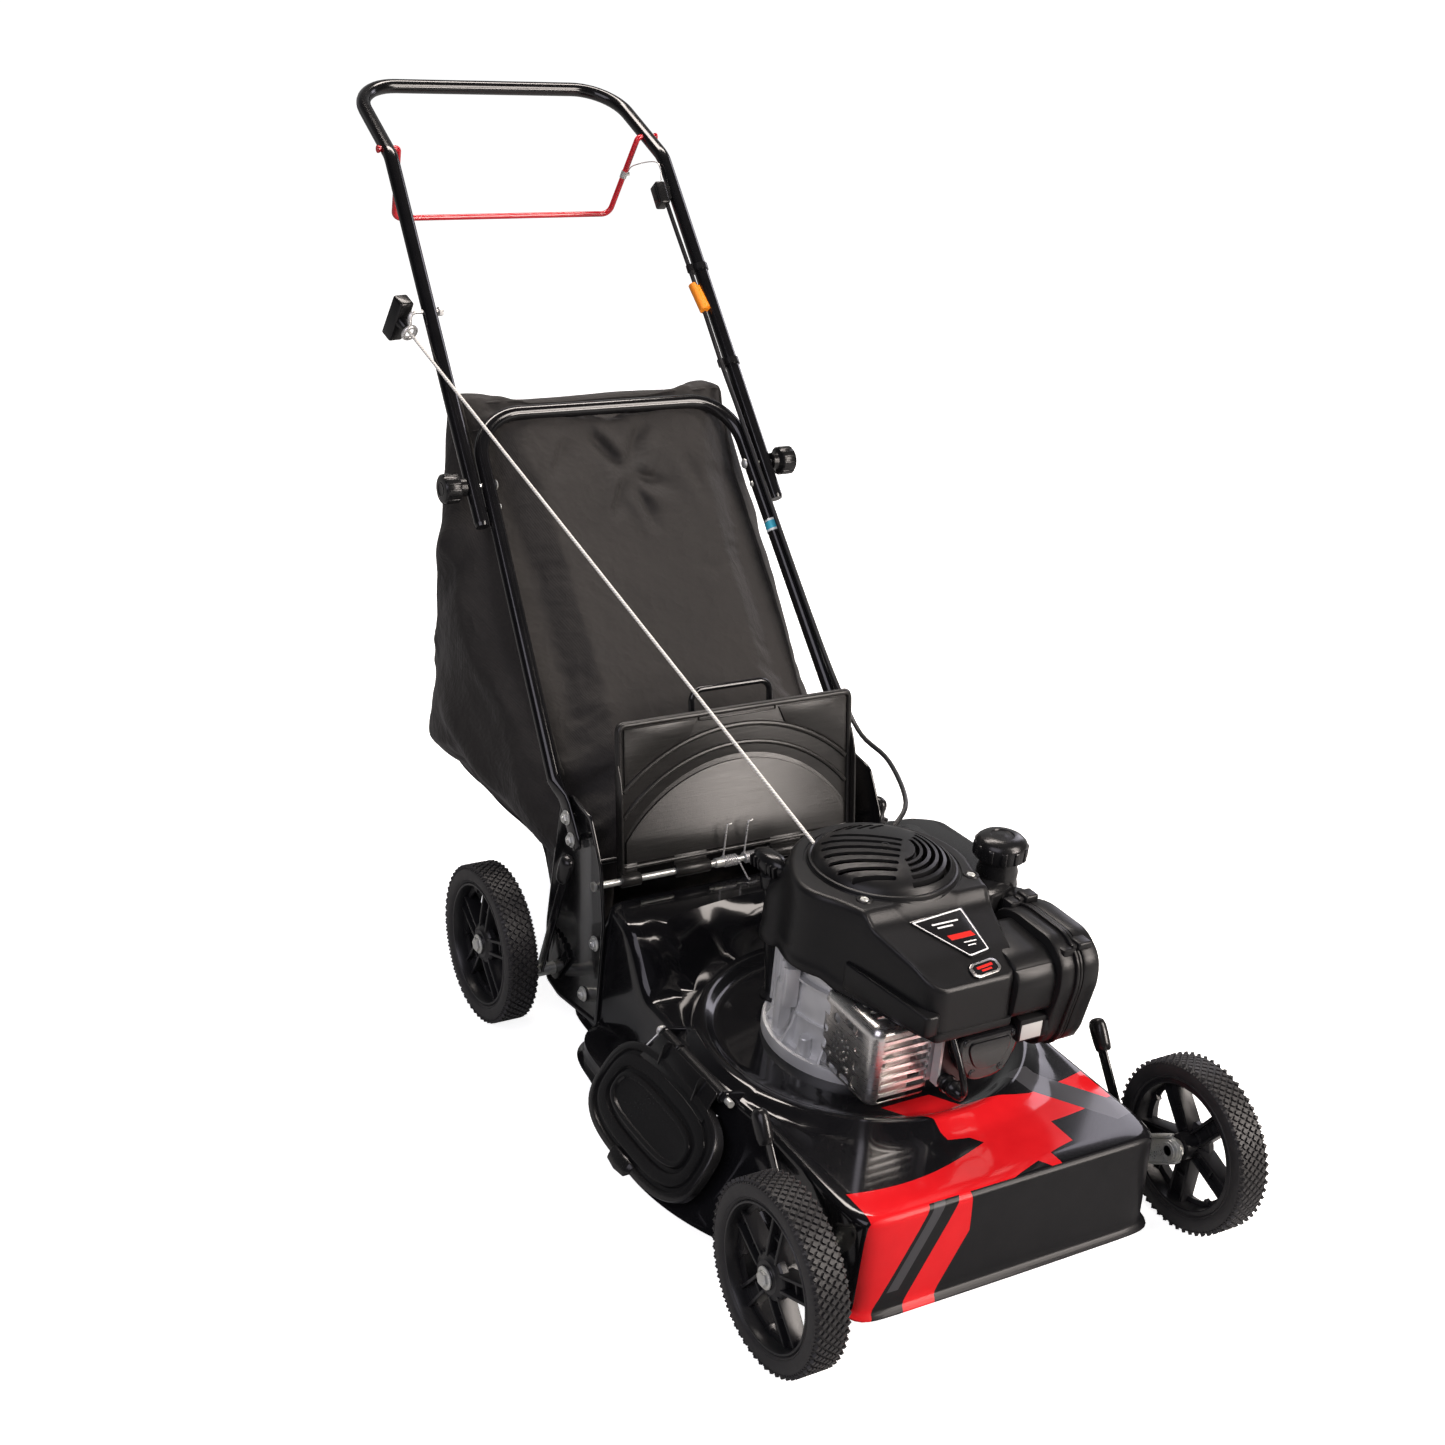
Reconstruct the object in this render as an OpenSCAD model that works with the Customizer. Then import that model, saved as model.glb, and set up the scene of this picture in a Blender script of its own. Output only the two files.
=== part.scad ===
// Push lawn mower with a rear grass bag, side chute and folding handle.
// +Z is up, the mower's front faces -Y and the operator stands at +Y.
// "Right" and "left" are the operator's, so right is -X.

/* [Wheels] */
// Outer diameter of each tyre
wheel_d = 200; // [180:1:220]
// Width of each tyre
wheel_w = 40; // [34:1:44]
// Diameter on which the tyre sits on its hub
rim_d = 155; // [130:1:160]
// Distance between the front and rear axles
wheelbase = 687; // [640:1:740]
// Distance between the outer faces of the left and right tyres
track = 583; // [575:1:640]
// Diameter of the axle stubs
axle_d = 12; // [10:0.5:14]
// Diameter of the height arm's pivot pin
pivot_d = 16; // [12:1:20]

/* [Deck] */
// Height of the deck rim above the ground
rim_z = 35; // [25:1:45]
// Thickness of the pressed steel
deck_wall = 2.5; // [1.5:0.1:3]
// Radius of the blade housing at the rim
house_r = 282; // [278:1:286]
// Radius of the blade housing at its shoulder
shoulder_r = 200; // [196:1:202]
// Height of the engine platform
platform_z = 150; // [140:1:160]
// Radius of the sunken ring round the engine
ring_r = 170; // [160:1:175]
// Half width of the deck body in front and behind
body_hw = 198; // [190:1:200]
// Height of the rear tunnel's roof
tunnel_z = 215; // [205:1:220]
// Half width of the rear discharge opening
outlet_hw = 160; // [140:1:165]
// Distance of the front face from the middle of the wheelbase
front_y = 376; // [370:1:400]
// Distance of the tunnel's rear edge from the middle of the wheelbase
rear_y = 204; // [196:1:206]

/* [Blade and engine] */
// Length of the blade
blade_l = 506; // [460:1:510]
// Distance of the crankshaft in front of the middle of the wheelbase
crank_y = 70; // [66:1:76]
// Diameter of the crankshaft
crank_d = 22.2; // [20:0.1:25.4]
// Height of the engine from its mounting face to the top of the starter
engine_h = 242; // [236:1:250]
// Radius of the recoil starter's dome
dome_r = 84; // [76:1:90]
// Radius of the starter pulley
pulley_r = 30; // [24:1:34]
// Diameter of the starter rope
rope_d = 4; // [3:0.5:5]

/* [Handle] */
// Diameter of the handle tube
tube_d = 19; // [16:0.5:20]
// Wall of the handle tube
tube_wall = 1.2; // [0.8:0.1:2]
// Lean of the handle from the vertical, in degrees
lean = 42.7; // [40:0.1:45]
// Length of the lower handle, from its bracket bolts to its crossbar
lower_l = 546; // [520:1:570]
// Distance of the fold bolts from the bracket bolts
fold_l = 450; // [430:1:470]
// Length from the bracket bolts to the upper handle's knee
knee_l = 922; // [880:1:960]
// Reach of the grip bar behind the knee
grip_reach = 161; // [140:1:180]
// Rise of the grip bar above the knee
grip_rise = 65; // [50:1:80]
// Diameter of the clamping knobs
knob_d = 38; // [32:1:44]

/* [Bag] */
// Half width of the grass bag
bag_hw = 196; // [180:1:197]
// Thickness of the bag's cloth wall as a solid
bag_wall = 5; // [3:0.5:8]
// Distance of the bag's back from the middle of the wheelbase
bag_rear = 724; // [700:1:760]
// Height of the bag's floor above the ground
bag_floor = 178; // [170:1:190]

/* [Hidden] */
$fn = 64;

run_gap = 0.05; // radial clearance of every running fit
body_gap = 0.3; // clearance between bodies that only meet
cut = 1; // how far a cutting solid runs past the face it cuts

wheel_r = wheel_d / 2;
wheel_x = track / 2 - wheel_w / 2;
axle_y = wheelbase / 2;

// Handle line: from the bracket bolts at base_y, base_z, up and back along the lean
base_y = 275;
base_z = 281;
function leg_y(l) = base_y + l * sin(lean);
function leg_z(l) = base_z + l * cos(lean);
base_hw = 213; // half spacing of the lower legs at the bolts
lower_hw = 188; // half spacing of the lower legs at the crossbar
upper_end_l = 395; // where the upper legs start
knee_hw = 202; // half spacing of the upper legs at the knee
grip_hw = 195; // half spacing where the upper legs meet the grip bar
tube_r = tube_d / 2;
function lower_x(l) = base_hw + (lower_hw - base_hw) * l / lower_l;
upper_hw = lower_x(upper_end_l) + tube_d + body_gap + 0.6;
function upper_x(l) = upper_hw + (knee_hw - upper_hw) * (l - upper_end_l) / (knee_l - upper_end_l);
knee_y = leg_y(knee_l);
knee_z = leg_z(knee_l);
bar_y = knee_y + grip_reach;
bar_z = knee_z + grip_rise;

// The frame's origin is on the ground, under the middle of the whole mower's length
front_end = -axle_y - wheel_r;
rear_end = bar_y + tube_r;
mid_y = -(front_end + rear_end) / 2;
module placed() translate([0, mid_y, 0]) children();

// ---- rods, tubes and cords ----
function unit(v) = v / norm(v);
module rod_between(a, b, r) {
    d = b - a;
    translate(a) rotate([0, acos(d[2] / norm(d)), atan2(d[1], d[0])]) cylinder(r = r, h = norm(d));
}
// Length that a bend of radius br takes off each leg at corner b
function tangent(a, b, c, br) = br / tan(acos(unit(a - b) * unit(c - b)) / 2);
bend_step = 0.08; // a bend is this much fuller than the straights that run into it
bend_lap = 0.4;
module bend(a, b, c, br, r) {
    u = unit(a - b);
    v = unit(c - b);
    half = acos(u * v) / 2;
    start = b + u * br / tan(half);
    end = b + v * br / tan(half);
    mid = b + unit(u + v) * br / sin(half);
    x = unit(start - mid);
    z = unit(cross(start - mid, end - mid));
    y = cross(z, x);
    multmatrix([[x[0], y[0], z[0], mid[0]], [x[1], y[1], z[1], mid[1]], [x[2], y[2], z[2], mid[2]], [0, 0, 0, 1]])
        rotate_extrude(angle = 180 - 2 * half) translate([br, 0]) circle(r = r + bend_step);
}
// A round rod along the points p, bent to the radii br at the inner points
module bent_rod(p, br, r) {
    n = len(p);
    for (i = [0:n - 2]) {
        d = unit(p[i + 1] - p[i]);
        a = i == 0 ? p[0] : p[i] + d * (tangent(p[i - 1], p[i], p[i + 1], br[i - 1]) - bend_lap);
        b = i == n - 2 ? p[n - 1] : p[i + 1] - d * (tangent(p[i], p[i + 1], p[i + 2], br[i]) - bend_lap);
        rod_between(a, b, r);
    }
    for (i = [1:n - 2]) bend(p[i - 1], p[i], p[i + 1], br[i - 1], r);
}
module bent_tube(p, br, r, wall) difference() {
    bent_rod(p, br, r);
    bent_rod(p, br, r - wall);
}
// A cord along the points p as one closed tube
function spline(a, b, c, d, t) = 0.5 * (2 * b + (c - a) * t + (2 * a - 5 * b + 4 * c - d) * t * t
    + (3 * b - a - 3 * c + d) * t * t * t);
function smooth(p, steps) = let (n = len(p)) concat([for (i = [0:n - 2], s = [0:steps - 1])
    spline(p[max(i - 1, 0)], p[i], p[i + 1], p[min(i + 2, n - 1)], s / steps)], [p[n - 1]]);
module cord(p, r, sides = 8) {
    n = len(p);
    dir = [for (i = [0:n - 1]) unit(p[min(i + 1, n - 1)] - p[max(i - 1, 0)])];
    side = [for (d = dir) unit(cross(d, [1, 0.3, 0]))];
    ring = [for (i = [0:n - 1], k = [0:sides - 1]) let (a = 360 * k / sides)
        p[i] + r * (cos(a) * side[i] + sin(a) * cross(dir[i], side[i]))];
    wall = [for (i = [0:n - 2], k = [0:sides - 1]) let (j = (k + 1) % sides)
        [i * sides + j, i * sides + k, (i + 1) * sides + k, (i + 1) * sides + j]];
    ends = [[for (k = [0:sides - 1]) k], [for (k = [sides - 1:-1:0]) (n - 1) * sides + k]];
    polyhedron(ring, concat(wall, ends));
}
// A plate in the YZ plane between x0 and x1, on the side of the mower given by s
module side_plate(s, x0, x1) translate([s > 0 ? x0 : -x1, 0, 0])
    rotate([90, 0, 90]) linear_extrude(x1 - x0) children();
module side_rod(s, x0, x1, y, z, r) translate([s > 0 ? x0 : -x1, y, z]) rotate([0, 90, 0])
    cylinder(r = r, h = x1 - x0);

// ---- deck ----
lip_w = 8; // width of the rolled rim
lip_h = 4;
skirt_hw = 240; // half width of the skirt beside the tunnel's front
skirt_y = 150;
skirt_h = 26;
skirt_end = 185.5; // the skirt stops in front of the bracket plates
ridge_h = 8; // height of the ridge round the sunken ring
ridge_w = 26;
shaft_hole_r = 45;
chute_y = [-158, 22]; // span of the side discharge opening
chute_z = [48, 132];
outlet_z = [62, 203];
hinge_x = shoulder_r + 11; // axis of the side deflector's hinge
hinge_z = platform_z;
barrel_r = 8;
ear_w = 6;
ear_y = [-126, 10];
rod_r = 4;
mount_pcd = 200; // engine bolts
mount_r = 4.2;
tunnel_rise = [112, 150]; // where the roof climbs behind the engine
tunnel_foot = 55; // how far the rear wall's foot stands behind its top

module tunnel_side(t) offset(delta = -t) polygon([[0, rim_z - t - t / deck_wall * cut], [0, platform_z],
    [tunnel_rise[0], platform_z], [tunnel_rise[1], tunnel_z], [rear_y, tunnel_z],
    [rear_y + tunnel_foot, rim_z + 34], [rear_y + tunnel_foot, rim_z - t - t / deck_wall * cut]]);
module deck_solid(t) {
    top = platform_z - t;
    low = rim_z - t / deck_wall * cut;
    translate([0, -crank_y, low]) cylinder(r1 = house_r - t, r2 = shoulder_r - t, h = top - low);
    translate([-body_hw + t, -front_y + t, low]) cube([2 * (body_hw - t), front_y + 2 * t, top - low]);
    translate([-body_hw + t, 0, 0]) rotate([90, 0, 90]) linear_extrude(2 * (body_hw - t)) tunnel_side(t);
    translate([0, 0, low]) linear_extrude(skirt_h - t)
        polygon([[house_r - 14 - t, -crank_y], [skirt_hw - t, skirt_y], [body_hw - t, skirt_end - t],
            [-body_hw + t, skirt_end - t], [-skirt_hw + t, skirt_y], [-house_r + 14 + t, -crank_y]]);
}
module deck_shell() color("#101012") placed() difference() {
    union() {
        difference() {
            union() {
                deck_solid(0);
                translate([0, -crank_y, platform_z - ridge_h]) cylinder(r = ring_r + ridge_w, h = 2 * ridge_h);
                translate([0, -crank_y, rim_z]) cylinder(r = house_r + lip_w, h = lip_h);
                translate([-body_hw - lip_w, -front_y - lip_w, rim_z])
                    cube([2 * (body_hw + lip_w), front_y / 2, lip_h]);
            }
            deck_solid(deck_wall);
            translate([0, -crank_y, platform_z]) cylinder(r = ring_r, h = 2 * ridge_h);
            translate([-outlet_hw, rear_y - 20, outlet_z[0]])
                cube([2 * outlet_hw, tunnel_foot + 40, outlet_z[1] - outlet_z[0]]);
            translate([-house_r - lip_w - cut, chute_y[0], chute_z[0]])
                cube([house_r - body_hw + lip_w + 30, chute_y[1] - chute_y[0], chute_z[1] - chute_z[0]]);
        }
        for (y = ear_y) translate([-hinge_x, y - ear_w / 2, hinge_z]) {
            rotate([-90, 0, 0]) cylinder(r = barrel_r, h = ear_w);
            translate([0, 0, -16]) cube([32, ear_w, 22]);
        }
    }
    translate([0, -crank_y, 0]) cylinder(r = shaft_hole_r, h = tunnel_z);
    for (a = [45:90:315]) translate([mount_pcd / 2 * cos(a), -crank_y + mount_pcd / 2 * sin(a), 0])
        cylinder(r = mount_r, h = tunnel_z);
    translate([-hinge_x, ear_y[0] - ear_w, hinge_z]) rotate([-90, 0, 0])
        cylinder(r = rod_r + run_gap, h = ear_y[1] - ear_y[0] + 2 * ear_w);
}

// ---- handle brackets ----
plate_t = 3;
plate_in = body_hw; // inner face of each bracket plate
plate_out = plate_in + plate_t;
door_y = 214; // rear door hinge
door_z = 231;
pin_clear = pivot_d / 2 + run_gap;
bracket_bolt_r = 3.5;
bracket_bolts = [[base_y + 8, base_z + 10], [base_y - 8, base_z - 12]];
deck_bolts = [[205, 158], [225, 76]];
arm_dy = 43;
arm_dz = 28;
pivot_z = wheel_r - arm_dz;
function pivot_y(e) = e * (axle_y - arm_dy);

module handle_brackets() color("#151517") placed() for (s = [1, -1]) side_plate(s, plate_in, plate_out)
    difference() {
        polygon([[186, 52], [186, 190], [204, 262], [238, 312], [292, 318], [318, 290], [334, 120],
            [326, 42], [290, 36]]);
        for (b = concat(bracket_bolts, deck_bolts)) translate(b) circle(r = bracket_bolt_r + run_gap);
        translate([door_y, door_z]) circle(r = rod_r + run_gap);
        translate([pivot_y(1), pivot_z]) circle(r = pin_clear);
    }

// Notched quadrant beside each height lever
quadrant_r = 52;
module quadrant(a0, a1) difference() {
    union() {
        circle(r = pivot_d / 2 + 8);
        intersection() {
            circle(r = quadrant_r);
            polygon([[0, 0], for (a = [a0:(a1 - a0) / 6:a1]) 2 * quadrant_r * [cos(a), sin(a)]]);
        }
    }
    circle(r = pin_clear);
    for (i = [1:5]) let (a = a0 + (a1 - a0) * i / 6)
        translate(quadrant_r * [cos(a), sin(a)]) circle(r = 3.5, $fn = 24);
}
front_plate_in = body_hw;
rear_plate_in = plate_out;
module height_plates() color("#1b1b1d") placed() for (s = [1, -1]) {
    side_plate(s, front_plate_in, front_plate_in + plate_t) translate([pivot_y(-1), pivot_z]) quadrant(21, 85);
    side_plate(s, rear_plate_in, rear_plate_in + plate_t) translate([pivot_y(1), pivot_z]) quadrant(76, 140);
}

module hex_bolt(s, x, y, z, r, h) translate([s > 0 ? x : -x - h, y, z]) rotate([0, 90, 0])
    cylinder(r = r, h = h, $fn = 6);
flat_t = 8; // thickness of the flattened ends of the lower handle
flat_in = plate_out;
module deck_fasteners() color("silver") placed() {
    for (s = [1, -1]) {
        for (b = bracket_bolts) {
            side_rod(s, plate_in, flat_in + flat_t, b[0], b[1], bracket_bolt_r);
            hex_bolt(s, flat_in + flat_t, b[0], b[1], 7, 5);
        }
        for (b = deck_bolts) {
            side_rod(s, plate_in, plate_out, b[0], b[1], bracket_bolt_r);
            hex_bolt(s, plate_out, b[0], b[1], 7, 5);
        }
    }
    for (a = [45:90:315]) translate([mount_pcd / 2 * cos(a), -crank_y + mount_pcd / 2 * sin(a), 0]) {
        translate([0, 0, platform_z - deck_wall - 4]) cylinder(r = 7.5, h = 4, $fn = 6);
        translate([0, 0, platform_z - deck_wall]) cylinder(r = mount_r - 0.3, h = 14);
    }
}

module hinge_rods() color("silver") placed() {
    translate([-plate_out - 3, door_y, door_z]) rotate([0, 90, 0]) cylinder(r = rod_r, h = 2 * (plate_out + 3));
    translate([-hinge_x, ear_y[0] - 12, hinge_z]) rotate([-90, 0, 0])
        cylinder(r = rod_r, h = ear_y[1] - ear_y[0] + 24);
}

// Torsion springs: a coil round the rod with two legs
spring_wire = 1.2;
module door_spring(x) translate([x, door_y, door_z]) {
    rotate([0, 90, 0]) difference() {
        cylinder(r = rod_r + 3.4, h = 22);
        translate([0, 0, -cut]) cylinder(r = rod_r + 0.4, h = 22 + 2 * cut);
    }
    rod_between([21, -rod_r - 2.2, 0], [21, -32, -13], spring_wire);
    rod_between([1, 0, rod_r + 2.2], [1, -2, 52], spring_wire);
}
module hinge_springs() color("#b8b8b8") placed() {
    door_spring(-26);
    door_spring(4);
    translate([-hinge_x, ear_y[1] + ear_w / 2 + 1, hinge_z]) {
        rotate([-90, 0, 0]) difference() {
            cylinder(r = rod_r + 3, h = 5);
            translate([0, 0, -cut]) cylinder(r = rod_r + 0.4, h = 5 + 2 * cut);
        }
        rod_between([-rod_r - 2, 2.5, 0], [-24, 2.5, -18.5], spring_wire);
    }
}

// ---- handle ----
leg_start = 46; // the round tube starts above its flattened end
lower_bend = 66;
module lower_handle() color("#0d0d0f") placed() difference() {
    union() {
        bent_tube([[-lower_x(leg_start), leg_y(leg_start), leg_z(leg_start)], [-lower_hw, leg_y(lower_l), leg_z(lower_l)],
            [lower_hw, leg_y(lower_l), leg_z(lower_l)], [lower_x(leg_start), leg_y(leg_start), leg_z(leg_start)]],
            [lower_bend, lower_bend], tube_r, tube_wall);
        for (s = [1, -1]) side_plate(s, flat_in, flat_in + flat_t) translate([base_y, base_z]) rotate(-lean)
            translate([-13, -28]) square([26, 28 + leg_start + 4]);
    }
    for (s = [1, -1]) {
        for (b = bracket_bolts) side_rod(s, plate_in, plate_out + 40, b[0], b[1], bracket_bolt_r + run_gap);
        side_rod(s, lower_hw - 40, upper_hw + 40, leg_y(fold_l), leg_z(fold_l), bolt_r + 0.01);
    }
}
bolt_r = 3;
bolt_in = lower_x(fold_l) - tube_r - 1;
knob_in = upper_x(fold_l) + tube_r + 1.2;
knob_h = 24;
module handle_bolts() color("silver") placed() for (s = [1, -1]) {
    side_rod(s, bolt_in - 4, bolt_in, leg_y(fold_l), leg_z(fold_l), 7);
    side_rod(s, bolt_in, knob_in + knob_h - 6, leg_y(fold_l), leg_z(fold_l), bolt_r);
}
knee_bend = 46;
corner_bend = 64;
guide_l = 695; // rope guide's hole
guide_r = 2.8;
bail_r = 4;
bail_right = [-knee_hw, knee_y + 16, knee_z + 6.5]; // bail pivots, staggered on the two legs
bail_left = [knee_hw, knee_y + 46, knee_z + 18.6];
clamp_l = 860;
module upper_handle() color("#0d0d0f") placed() difference() {
    bent_tube([for (s = [-1, 1]) each s < 0
        ? [[-upper_hw, leg_y(upper_end_l), leg_z(upper_end_l)], [-knee_hw, knee_y, knee_z], [-grip_hw, bar_y, bar_z]]
        : [[grip_hw, bar_y, bar_z], [knee_hw, knee_y, knee_z], [upper_hw, leg_y(upper_end_l), leg_z(upper_end_l)]]],
        [knee_bend, corner_bend, corner_bend, knee_bend], tube_r, tube_wall);
    for (s = [1, -1]) side_rod(s, knee_hw - 20, upper_hw + 40, leg_y(fold_l), leg_z(fold_l), bolt_r + run_gap);
    side_rod(-1, knee_hw - 40, upper_hw + 40, leg_y(guide_l), leg_z(guide_l), guide_r + run_gap);
    rod_between(bail_right - 30 * bail_axis, bail_right + 30 * bail_axis, bail_r + run_gap);
    rod_between(bail_left - 30 * bail_axis, bail_left + 30 * bail_axis, bail_r + run_gap);
}
bail_axis = unit(bail_left - bail_right);
bail_drop = [-165, knee_y + 75, knee_z - 96]; // right corner of the bail's crossbar
bail_drop_left = [163, knee_y + 75, knee_z - 94];
module stop_bail() color("#c8141e") placed()
    bent_rod([bail_right - 13 * bail_axis, bail_right + 17 * bail_axis, bail_drop, bail_drop_left,
        bail_left - 17 * bail_axis, bail_left + 13 * bail_axis], [6, 14, 14, 6], bail_r);

// Wire eye that holds the starter rope at the handle
eye_at = [-234, leg_y(guide_l) - 1, leg_z(guide_l) - 26];
eye_r = 9;
rope_exit = [-66, -crank_y + 42, platform_z + engine_h - 7];
rope_dir = unit(eye_at - rope_exit);
module along(o, d) translate(o) rotate([0, acos(d[2]), atan2(d[1], d[0])]) children();
module rope_guide() color("silver") placed() {
    start = [-upper_x(guide_l) + tube_r + 8, leg_y(guide_l), leg_z(guide_l)];
    top = eye_at + [0, 0, eye_r + 1];
    bent_rod([start, [eye_at[0], start[1], start[2]], top], [8], guide_r);
    along(eye_at, rope_dir) rotate_extrude() translate([eye_r, 0]) circle(r = guide_r, $fn = 24);
    hex_bolt(-1, upper_x(guide_l) - tube_r - 8, start[1], start[2], 6.5, 5);
}
grip_off = guide_r + 6; // the grip rests against the eye
module starter_grip() color("#161618") placed() along(eye_at, rope_dir) {
    translate([0, 0, grip_off]) cylinder(r1 = 5, r2 = 8, h = 10);
    translate([-30, -11, grip_off + 10]) cube([60, 22, 22]);
}
module starter_rope() color("white") placed()
    rod_between(rope_exit, eye_at + rope_dir * (grip_off - body_gap), rope_d / 2);

// Brake cable: clamp at the bail, along the left leg, then to the engine
function leg_point(x, l, n) = [x, leg_y(l) + n * cos(lean), leg_z(l) - n * sin(lean)];
cable_r = 3;
clamp_x = upper_x(clamp_l) - tube_r;
module cable_bracket() color("#1a1a1c") placed() {
    translate([clamp_x, leg_y(clamp_l), leg_z(clamp_l)]) rotate([-lean, 0, 0]) difference() {
        translate([-15, -9, -17]) cube([14.85, 20, 34]);
        translate([-8, 0, -20]) cylinder(r = cable_r + run_gap, h = 40);
    }
    for (l = [600, 745]) translate([upper_x(l), leg_y(l), leg_z(l)]) rotate([-lean, 0, 0]) difference() {
        cylinder(r = tube_r + 2, h = 9, center = true);
        cylinder(r = tube_r + 0.2, h = 20, center = true);
    }
}
cable_upper = smooth([leg_point(clamp_x - 8, clamp_l + 16.5, 0), leg_point(clamp_x - 8, clamp_l - 18, 0),
    leg_point(clamp_x - 6.5, 800, 0),
    leg_point(upper_x(700) - tube_r - 6, 700, 0), leg_point(upper_x(640) - tube_r - 6, 640, 0),
    leg_point(190, 590, -7), leg_point(lower_x(530), 530, -14), leg_point(lower_x(470), 470.15, -14)], 5);
cable_lower = smooth([leg_point(lower_x(470), 470, -14), leg_point(lower_x(400), 400, -14),
    leg_point(lower_x(280), 280, -14), leg_point(lower_x(170), 170, -16), leg_point(lower_x(98), 98, -22),
    [192, 262, 352], [164, 150, 374], [126, 56, 368], [82, 30, 345], [64, 19, 312]], 5);
module brake_cable_upper() color("#121214") placed() cord(cable_upper, cable_r);
module brake_cable_lower() color("#121214") placed() cord(cable_lower, cable_r);
wire_end = bail_left - 17 * bail_axis + 0.48 * (bail_drop_left - bail_left + 17 * bail_axis);
module bail_wire() color("silver") placed()
    cord(smooth([wire_end + [4.85, 0, 0], wire_end + [9, -10, 14], [186, leg_y(900), leg_z(900) + 10],
        leg_point(clamp_x - 8, clamp_l + 17.2, 0)], 5), 0.8);

module knob(s) color("#18181a") placed() difference() {
    union() {
        side_rod(s, knob_in, knob_in + 8, leg_y(fold_l), leg_z(fold_l), knob_d * 0.3);
        side_rod(s, knob_in + 8, knob_in + knob_h, leg_y(fold_l), leg_z(fold_l), knob_d / 2);
    }
    for (i = [0:7]) side_rod(s, knob_in + 8 - cut, knob_in + knob_h + cut, leg_y(fold_l) + (knob_d / 2 + 3) * cos(45 * i),
        leg_z(fold_l) + (knob_d / 2 + 3) * sin(45 * i), 5);
    side_rod(s, knob_in - cut, knob_in + knob_h - 5, leg_y(fold_l), leg_z(fold_l), bolt_r + run_gap);
}
module knob_right() knob(-1);
module knob_left() knob(1);

// ---- engine ----
module at_crank(z = 0) translate([0, -crank_y, z]) children();
crank_r = crank_d / 2;
flange_r = 114;
case_r = 92;
case_top = platform_z + 118;
case_wall = 6;
skirt_z = platform_z + 112; // bottom of the shroud
shroud_r = 104;
shroud_wall = 2.5;
shroud_top = platform_z + 218;
nose_y = 190; // reach of the shroud's nose in front of the crankshaft
nose_hw = 52;
tank_z = [platform_z + 82, platform_z + 185];
head_x = 24; // the cylinder lies a little to the left of the crankshaft
block_y = case_r + 4; // flat face the cylinder bolts to
block_z = platform_z + 72;
head_y = 166; // front of the cylinder head, from the crankshaft
fin_hw = 46;
fin_hh = 38;
dip_foot = [-66, 86, 15]; // oil tube, from the crankshaft and the platform
dip_dir = unit([-26, -4, 180]);
dip_boss = 14;
dip_len = 162; // from the foot to the tube's rim
tube_out = 9;
tube_in = 6.5;

module crankcase() color("#b9bcc0") placed() at_crank() difference() {
    union() {
        translate([0, 0, platform_z]) cylinder(r = flange_r, h = 14);
        translate([0, 0, platform_z]) cylinder(r = case_r, h = case_top - platform_z);
        for (a = [-60:30:240]) rotate(a) translate([0, -2.5, platform_z]) cube([case_r + 8, 5, 52]);
        for (a = [100, 215, 340]) rotate(a) translate([0, -7, skirt_z - 30]) cube([shroud_r, 14, 30]);
        for (a = [22, -18]) rotate(a) translate([0, -9, tank_z[0] - 20]) cube([126, 18, 20]);
        translate([head_x - 38, -block_y, block_z - 34]) cube([76, block_y, 68]);
        translate([0, 0, platform_z]) translate(dip_foot - dip_dir * 8) along([0, 0, 0], dip_dir)
            cylinder(r = tube_out + 5, h = dip_boss + 8);
    }
    translate([0, 0, platform_z + case_wall]) cylinder(r = case_r - case_wall, h = case_top - platform_z - 2 * case_wall);
    translate([0, 0, platform_z - cut]) cylinder(r = crank_r + run_gap, h = engine_h);
    for (a = [45:90:315]) translate([mount_pcd / 2 * cos(a), mount_pcd / 2 * sin(a), platform_z - cut])
        cylinder(r = mount_r, h = 12.5);
    translate([0, 0, platform_z]) translate(dip_foot) along([0, 0, 0], dip_dir) cylinder(r = tube_in, h = dip_boss + 20);
}
module oil_fill_tube() color("#151517") placed() at_crank(platform_z) translate(dip_foot) along([0, 0, 0], dip_dir)
    difference() {
        union() {
            translate([0, 0, dip_boss]) cylinder(r = tube_out, h = dip_len - dip_boss);
            translate([0, 0, dip_len - 14]) cylinder(r = tube_out + 2.5, h = 14);
        }
        translate([0, 0, dip_boss - cut]) cylinder(r = tube_in, h = dip_len);
    }
module dipstick() color("#151517") placed() at_crank(platform_z) translate(dip_foot) along([0, 0, 0], dip_dir) {
    translate([0, 0, dip_len - 22]) cylinder(r = tube_in - run_gap, h = 22 + body_gap);
    translate([0, 0, 8]) cylinder(r = 2.2, h = dip_len - 30);
    translate([0, 0, dip_len + body_gap]) cylinder(r = tube_out + 3.5, h = 7);
    translate([0, 0, dip_len + body_gap + 7]) for (x = [-13, 0, 13]) translate([x, 0, 0]) cylinder(r = 10, h = 20);
    translate([-13, -10, dip_len + body_gap + 7]) cube([26, 20, 20]);
}
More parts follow.
